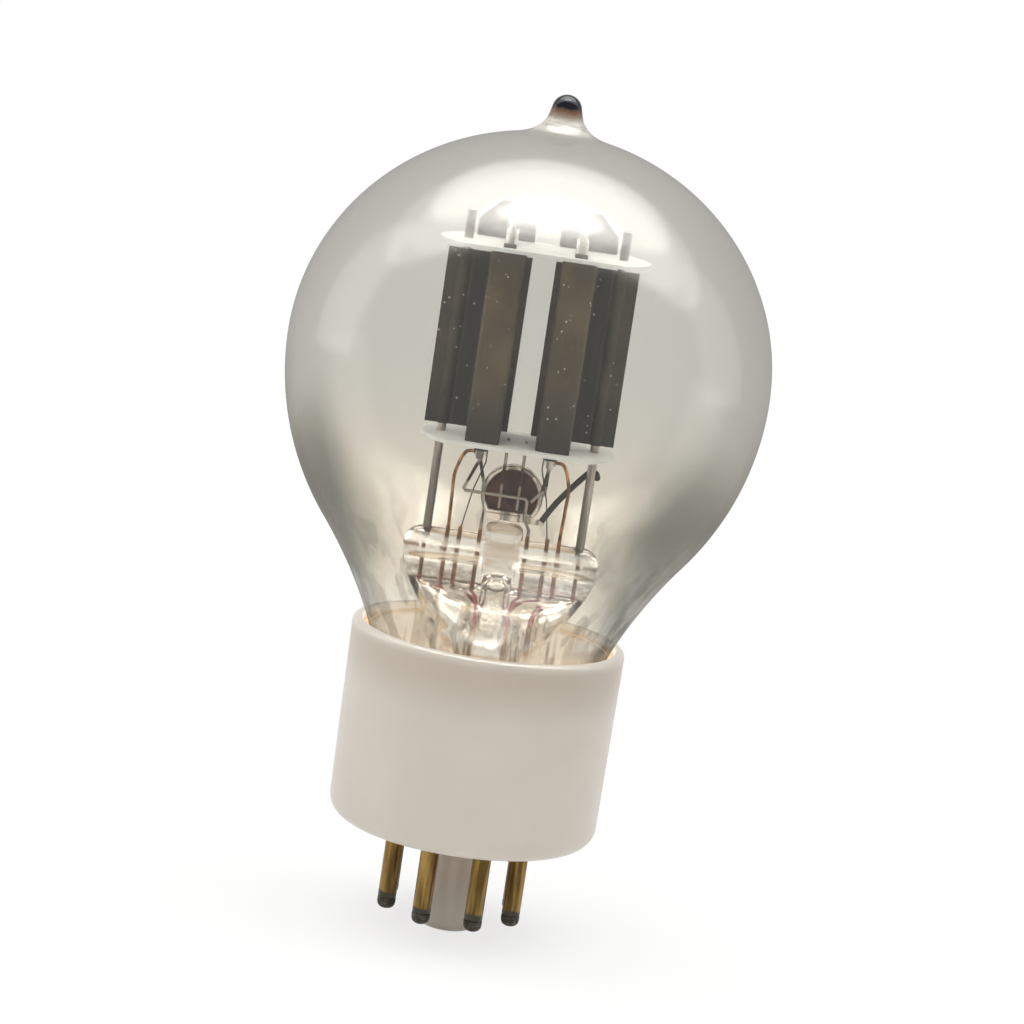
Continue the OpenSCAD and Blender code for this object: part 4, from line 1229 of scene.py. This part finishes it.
class TUBE_OT_stem(bpy.types.Operator):
    """Press the glass stem: flared tube, flat press with its bar, centre column and inner tube"""

    bl_idname = "tube.stem"
    bl_label = "Stem"

    def execute(self, context):
        glass = stem_finish()
        stem = self.pressed_tube()
        self.add_column(stem)
        dress(stem, glass, "stem_glass", "stem")
        dress(self.inner_tube(), glass, "stem_glass", "stem_tubulation")
        return {"FINISHED"}

    def press_half(self, z):
        t = max(0.0, (z - FOLD_Z) / (BAR_Z - FOLD_Z))
        return STEM_R + (PRESS_HALF - STEM_R) * math.sin(math.pi / 2 * min(t, 1.0))

    def folded(self, z):
        """0 where the fold begins, 1 where the tube is flat"""
        return min(1.0, max(0.0, (z - FOLD_LOW) / (FOLD_Z + FOLD_HOLLOW - FOLD_LOW)))

    def fold_half(self, z):
        return PRESS_T / 2 + (STEM_R - PRESS_T / 2) * (1 - self.folded(z) ** 2) ** 0.75

    def squareness(self, z):
        """2 where the tube is round, more where it is pressed flat"""
        return ROUND + (PRESSED - ROUND) * self.folded(z) ** 3

    def rings(self):
        """Half width, half depth, height and squareness of the rings, from the hollow's top inside,
        down to the flange and up outside to the top of the bar"""
        neck = bulb_side(0)[0][0]
        flange = NECK_END_Z - FLANGE_T
        bore = STEM_R - STEM_WALL
        lip = neck - FLANGE_T - STEM_WALL
        rows = []
        for z in evenly(FOLD_Z + FOLD_HOLLOW, FOLD_LOW, FOLD_STEPS):
            rows.append((
                max(self.press_half(z) - STEM_WALL, HOLLOW_LEAST[0]),
                max(self.fold_half(z) - STEM_WALL, HOLLOW_LEAST[1]),
                z - SEAT, self.squareness(z),
            ))
        flare = bend((bore, NECK_END_Z + FLARE_H), (bore, flange), (lip - STEM_WALL, flange), 10)
        flare += [(neck, flange), (neck, NECK_END_Z - FLANGE_GAP)]
        flare += bend((lip, NECK_END_Z), (STEM_R, NECK_END_Z), (STEM_R, NECK_END_Z + FLARE_H), 10)
        rows += [(r, r, z, ROUND) for r, z in flare]
        for z in evenly(FOLD_LOW, BAR_Z - BAR_UNDER, PRESS_STEPS):
            rows.append((self.press_half(z), self.fold_half(z), z, self.squareness(z)))
        for turn in evenly(*BAR_TURN, BAR_STEPS)[1:]:
            a = math.radians(turn)
            half = PRESS_HALF - BAR_INSET
            if a > 0:
                half = PRESS_HALF - BAR_R + BAR_R * max(BAR_END_LEAST, math.cos(a))
            rows.append((half, BAR_R * math.cos(a), BAR_Z + BAR_R * math.sin(a), PRESSED))
        return rows

    def pressed_tube(self):
        """Extrudes one ring along the rows and closes both ends"""
        start()
        bpy.ops.mesh.primitive_circle_add(vertices=128, radius=MM, fill_type="NGON")
        bpy.ops.object.mode_set(mode="EDIT")
        bpy.ops.mesh.select_all(action="SELECT")
        last = (1.0, 1.0, 0.0, ROUND)
        for i, row in enumerate(self.rings()):
            if i > 0:
                bpy.ops.mesh.extrude_region_move(TRANSFORM_OT_translate={"value": (0, 0, 0)})
            self.shape_ring(last, row)
            last = row
        seal()
        return finished("glass_stem", 50.0)

    def shape_ring(self, last, row):
        """Moves the picked ring to its outline: an oval that gets squarer as the tube is pressed"""
        half_x, half_y, z, square = row
        mesh = bmesh.from_edit_mesh(bpy.context.object.data)
        for v in (v for v in mesh.verts if v.select):
            x = v.co.x / last[0] / MM
            y = v.co.y / last[1] / MM
            turn = math.atan2(
                math.copysign(abs(y) ** (last[3] / 2), y), math.copysign(abs(x) ** (last[3] / 2), x)
            )
            c, d = math.cos(turn), math.sin(turn)
            x = half_x * math.copysign(abs(c) ** (2 / square), c)
            y = half_y * math.copysign(abs(d) ** (2 / square), d)
            v.co = Vector((x, y, z)) * MM
        bmesh.update_edit_mesh(bpy.context.object.data)

    def add_column(self, stem):
        """Melts the centre column into the press and opens the hollow for the inner tube's dome"""
        foot = FOLD_Z + FOLD_HOLLOW - COLUMN_SINK
        column = turned("stem_column", mm(
            [(0, foot), (COLUMN_R, foot)]
            + arc((COLUMN_R - COLUMN_EDGE, COLUMN_TOP - COLUMN_EDGE), COLUMN_EDGE, 0, 90, 8)
            + [(0, COLUMN_TOP)]
        ), steps=64)
        dome_r = INNER_DOME_R + SEAT
        hollow = turned("stem_hollow", mm(
            [(0, FOLD_Z), (dome_r, FOLD_Z)] + arc((0, DOME_Z), dome_r, 0, 90, 16)
        ), steps=64)
        for tool, operation in ((column, "UNION"), (hollow, "DIFFERENCE")):
            pick(stem)
            cut = stem.modifiers.new(tool.name, "BOOLEAN")
            cut.object = tool
            cut.operation = operation
            cut.solver = "EXACT"
            bpy.ops.object.modifier_apply(modifier=cut.name)
            bpy.data.objects.remove(tool)
        bpy.ops.object.shade_smooth_by_angle(angle=math.radians(50.0))

    def inner_tube(self):
        """Domed inner tube that is seen through the stem"""
        bottom = low("stem_tubulation").z / MM
        neck = FOLD_Z + INNER_NECK * FOLD_HOLLOW
        drop = INNER_TUBE_R - INNER_DOME_R

        def side(depth):
            r = INNER_TUBE_R - depth
            dome = INNER_DOME_R - depth
            return (
                [(r, bottom)]
                + bend((r, FOLD_Z), (r, neck), (dome, neck + drop), 10)
                + arc((0, DOME_Z), dome, 0, 90, 14)
            )

        outline = list(reversed(side(0))) + side(INNER_WALL)
        return turned("inner_tube", mm(outline), steps=80, smooth=50.0)


class TUBE_OT_leads(bpy.types.Operator):
    """Run the eight press leads from the pins up through the press"""

    bl_idname = "tube.leads"
    bl_label = "Press leads"

    def execute(self, context):
        finish = lead_finish()
        bottom = low("press_lead_1").z / MM
        pin_top = BASE_FLOOR_Z + LEAD_FOOT
        hollow_top = FOLD_Z + FOLD_HOLLOW
        across, back = LEAD_INWARDS
        pin_r = sizes().pin_circle / 2 / MM
        for i, (turn, x) in enumerate(zip(LEAD_TURNS, LEAD_X), 1):
            a = math.tau * turn / PIN_COUNT
            way = Vector((math.cos(a), math.sin(a)))
            pin = way * pin_r
            ring = way * LEAD_RING_R
            node = "press_lead_%d" % i
            route = smooth_path([
                (pin.x, pin.y, bottom),
                (pin.x, pin.y, pin_top),
                (pin.x, pin.y, pin_top + LEAD_RISE),
                (ring.x, ring.y, NECK_END_Z + FLARE_H),
                (ring.x, ring.y, FOLD_Z - LEAD_UNDER_FOLD),
                (ring.x + across * (x - ring.x), back * ring.y, FOLD_Z + FOLD_HOLLOW / 2),
                (x, 0, hollow_top - LEAD_STRAIGHT),
                (x, 0, hollow_top - LEAD_STRAIGHT / 2),
                (x, 0, hollow_top - SEAT),
            ]) + [Vector((x, 0, high(node).z / MM))]
            dress(wire("lead_%d" % i, mm(route), sizes().lead_d), finish, "lead_wire", node)
        return {"FINISHED"}


class TUBE_OT_cage(bpy.types.Operator):
    """Finish the micas and anodes, and draw the round support rods"""

    bl_idname = "tube.cage"
    bl_label = "Cage"

    def execute(self, context):
        paint(mica_finish(), "lower_mica", "upper_mica")
        carbon = carbon_finish()
        for side in SIDES:
            paint(carbon, "anode_%s_front" % side, "anode_%s_rear" % side, "grid_fin_%s" % side)
        # The last number is the strength of the painted shade above the cage
        nickel = metal_finish("drawn_nickel", colours().nickel, 0.24, 0.8)
        for side, sign in SIDES.items():
            node = "support_rod_" + side
            rod = round_rod("rod_" + side, node, sign * ROD_X, 0.0)
            dress(rod, nickel, "nickel", node)
        return {"FINISHED"}


class TUBE_OT_grids(bpy.types.Operator):
    """Wind the two grids on their rods and draw their links"""

    bl_idname = "tube.grids"
    bl_label = "Grids"

    def execute(self, context):
        copper = metal_finish("drawn_copper", colours().copper, 0.3)
        plated = metal_finish("plated_copper", colours().nickel, 0.26)
        for side, sign in SIDES.items():
            x = sign * ANODE_X
            node = "grid_rods_" + side
            rods = [
                round_rod("post", node, x, y, GRID_ROD_D) for y in (-GRID_ROD_Y, GRID_ROD_Y)
            ]
            dress(joined(rods, "grid_posts_" + side), plated, "grid_copper", node)
            winding = wire("grid_coil_" + side, self.turns(x), sizes().grid_wire_d, 1)
            dress(winding, copper, "grid_copper", "grid_winding_" + side)
            link = [(sign * p[0], p[1], p[2]) for p in self.link()]
            link = wire("grid_jumper_" + side, mm(smooth_path(link)), sizes().wire_d)
            dress(link, copper, "grid_copper", "grid_link_" + side)
        return {"FINISHED"}

    def turns(self, x):
        """One turn runs round one rod, along a side, round the other rod and back"""
        wound = sizes().grid_turns
        wire_r = sizes().grid_wire_d / 2 / MM
        cap_y = GRID_ROD_Y + GRID_ROD_D / 2 + SEAT + wire_r - GRID_HALF_W
        pitch = (ANODE_LEN - 2 * GRID_PLAIN) / wound
        steps = 12
        path = []
        for turn in range(wound):
            for cap in (0, 1):
                for k in range(steps + 1):
                    a = math.pi * (cap + k / steps)
                    done = turn + (cap + k / (steps + 1)) / 2
                    path.append((
                        x + GRID_HALF_W * math.cos(a),
                        (1 - 2 * cap) * cap_y + GRID_HALF_W * math.sin(a),
                        ANODE_Z + GRID_PLAIN + pitch * done,
                    ))
        return mm(path)

    def link(self):
        """Route of the right link from its lead to its grid rod, in mm"""
        bottom = LEAD_TOP + SEAT
        rise = low("lower_mica").z / MM - LINK_UNDER_MICA - bottom
        touch = ANODE_X + GRID_ROD_D / 2 + sizes().wire_d / 2 / MM + SEAT
        return [
            (GRID_LEAD_X + a * (touch - GRID_LEAD_X), -b * GRID_ROD_Y, bottom + c * rise)
            for a, b, c in LINK_BOWS
        ]


class TUBE_OT_cathodes(bpy.types.Operator):
    """Finish the cathodes, heaters and ribbons, and draw the heater wires"""

    bl_idname = "tube.cathodes"
    bl_label = "Cathodes and heaters"

    def execute(self, context):
        coating = dull_finish("white_coating", colours().coating, 0.7)
        ribbon = dull_finish("black_ribbon", colours().ribbon, 0.4)
        for side in SIDES:
            paint(coating, "cathode_" + side, "heater_" + side)
            paint(ribbon, "cathode_link_" + side)
        finish = burnt_wire_finish("burnt_wire")
        for name, node, route in self.routes():
            dress(wire(name, mm(route), sizes().wire_d), finish, "heater_wire", node)
        return {"FINISHED"}

    def routes(self):
        """Names, solids and routes of the four heater wires, in mm"""
        front = -HEATER_PITCH / 2
        rear = HEATER_PITCH / 2
        bent = TAIL_Z - TAIL_STRAIGHT
        weld = LEAD_TOP + TAIL_STRAIGHT
        yield "front_bus", "heater_bus_front", [
            (-ANODE_X, front, TAIL_Z), (-ANODE_X, front - SEAT, bent),
            (-BUS_LEFT, -BUS_Y, BUS_Z + BUS_BEND), (BUS_BEND - BUS_LEFT, -BUS_Y, BUS_Z),
            (BUS_RIGHT - BUS_BEND, -BUS_Y, BUS_Z), (BUS_RIGHT, -BUS_Y, BUS_Z - BUS_BEND),
            (BUS_RIGHT, -BUS_Y, FOOT_Z), (INNER_LEAD_X, -SEAT, weld),
            (INNER_LEAD_X, 0, LEAD_TOP + SEAT),
        ]
        yield "front_tail", "heater_tail_right", [
            (ANODE_X, front, TAIL_Z), (ANODE_X, front - SEAT, bent),
            (ANODE_X - TAIL_GAP, -BUS_Y, BUS_Z + 4 * BUS_BEND),
            (BUS_RIGHT + TAIL_GAP, -BUS_Y, BUS_Z - BUS_BEND),
        ]
        yield "rear_bus", "heater_bus_rear", [
            (ANODE_X, rear, TAIL_Z), (ANODE_X, rear + SEAT, bent),
            (ANODE_X, REAR_Y, BUS_Z + BUS_BEND), (ANODE_X - BUS_BEND, REAR_Y, BUS_Z),
            (BUS_BEND - INNER_LEAD_X, REAR_Y, BUS_Z), (-INNER_LEAD_X, REAR_Y, BUS_Z - BUS_BEND),
            (-INNER_LEAD_X, REAR_Y, FOOT_Z), (-INNER_LEAD_X, SEAT, weld),
            (-INNER_LEAD_X, 0, LEAD_TOP + SEAT),
        ]
        yield "rear_tail", "heater_tail_left", [
            (-ANODE_X, rear, TAIL_Z), (-ANODE_X, rear + SEAT, bent),
            (-INNER_LEAD_X - TAIL_GAP, REAR_Y, BUS_Z + 2 * BUS_BEND),
            (-INNER_LEAD_X - TAIL_GAP, REAR_Y, BUS_Z - BUS_BEND),
        ]


class TUBE_OT_getter(bpy.types.Operator):
    """Finish the getter cup, its powder, strip, strap and posts"""

    bl_idname = "tube.getter"
    bl_label = "Getter"

    def execute(self, context):
        nickel = metal_finish("bright_nickel", shade(colours().nickel, 1.3), 0.2)
        dress(self.cup(), nickel, "nickel", "getter_cup")
        paint(nickel, "getter_strip")
        paint(powder_finish(), "getter_fill")
        black = dull_finish("black_strap", colours().ribbon, 0.4)
        dress(self.strap(), black, "dark_ribbon", "getter_strap")
        burnt = burnt_wire_finish("burnt_post")
        for side in SIDES:
            node = "getter_post_" + side
            centre = (low(node) + high(node)) / 2 / MM
            post = round_rod("post_" + side, node, centre.x, centre.y)
            dress(post, burnt, "nickel", node)
        return {"FINISHED"}

    def strap(self):
        """Wire rolled flat, from the strip up behind the right rod, with its end hooked round it"""
        route = [(x, y / STRAP_FLAT, z) for x, y, z in smooth_path(STRAP_ROUTE)]
        strap = wire("rolled_strap", mm(route), STRAP_W * MM)
        return moved(strap, Matrix.Diagonal((1, STRAP_FLAT, 1, 1)))

    def cup(self):
        """Pressed cup with a rolled rim, its mouth to the front and its lower side set flat"""
        bottom, top = low("getter_cup") / MM, high("getter_cup") / MM
        r = (top.x - bottom.x) / 2
        deep = top.y - bottom.y
        side, floor = r - CUP_ROUND, deep - CUP_ROUND
        outline = (
            [(0, deep)]
            + arc((side, floor), CUP_ROUND, 90, 0, 8)
            + arc((r - CUP_LIP, CUP_LIP), CUP_LIP, 0, -180, 10)
            + arc((side - CUP_WALL, floor - CUP_WALL), CUP_ROUND, 0, 90, 8)
            + [(0, deep - CUP_WALL)]
        )
        cup = turned("cup", mm(outline), steps=72)
        middle = Vector(((top.x + bottom.x) / 2, bottom.y, top.z - r))
        moved(cup, Matrix.Translation(middle * MM) @ Matrix.Rotation(-math.pi / 2, 4, "X"))
        for v in cup.data.vertices:
            across = math.hypot(v.co.x / MM - middle.x, v.co.z / MM - middle.z)
            inner = across < r - CUP_LIP and v.co.y / MM < top.y - CUP_LIP
            v.co.z = max(v.co.z, (bottom.z + (CUP_WALL if inner else 0.0)) * MM)
        return cup


class TUBE_PT_panel(bpy.types.Panel):
    """Steps that build the tube, in order"""

    bl_label = "Vacuum tube"
    bl_space_type = "VIEW_3D"
    bl_region_type = "UI"
    bl_category = "Tube"

    def draw(self, context):
        for step in STEPS:
            self.layout.operator(step.bl_idname)
        for group in (context.scene.tube_sizes, context.scene.tube_colours):
            column = self.layout.column()
            for name in group.__annotations__:
                column.prop(group, name)


STEPS = (
    TUBE_OT_camera, TUBE_OT_stage, TUBE_OT_base, TUBE_OT_pins, TUBE_OT_bulb, TUBE_OT_stem,
    TUBE_OT_leads, TUBE_OT_cage, TUBE_OT_grids, TUBE_OT_cathodes, TUBE_OT_getter,
)
CLASSES = (TubeSizes, TubeColours) + STEPS + (TUBE_PT_panel,)


def register():
    for cls in CLASSES:
        bpy.utils.register_class(cls)
    bpy.types.Scene.tube_sizes = PointerProperty(type=TubeSizes)
    bpy.types.Scene.tube_colours = PointerProperty(type=TubeColours)


def unregister():
    del bpy.types.Scene.tube_colours
    del bpy.types.Scene.tube_sizes
    for cls in reversed(CLASSES):
        bpy.utils.unregister_class(cls)


def main():
    register()
    bpy.ops.tube.camera()
    bpy.ops.tube.stage()
    bpy.ops.tube.base()
    bpy.ops.tube.pins()
    bpy.ops.tube.bulb()
    bpy.ops.tube.stem()
    bpy.ops.tube.leads()
    bpy.ops.tube.cage()
    bpy.ops.tube.grids()
    bpy.ops.tube.cathodes()
    bpy.ops.tube.getter()
    start()


if __name__ == "__main__":
    main()
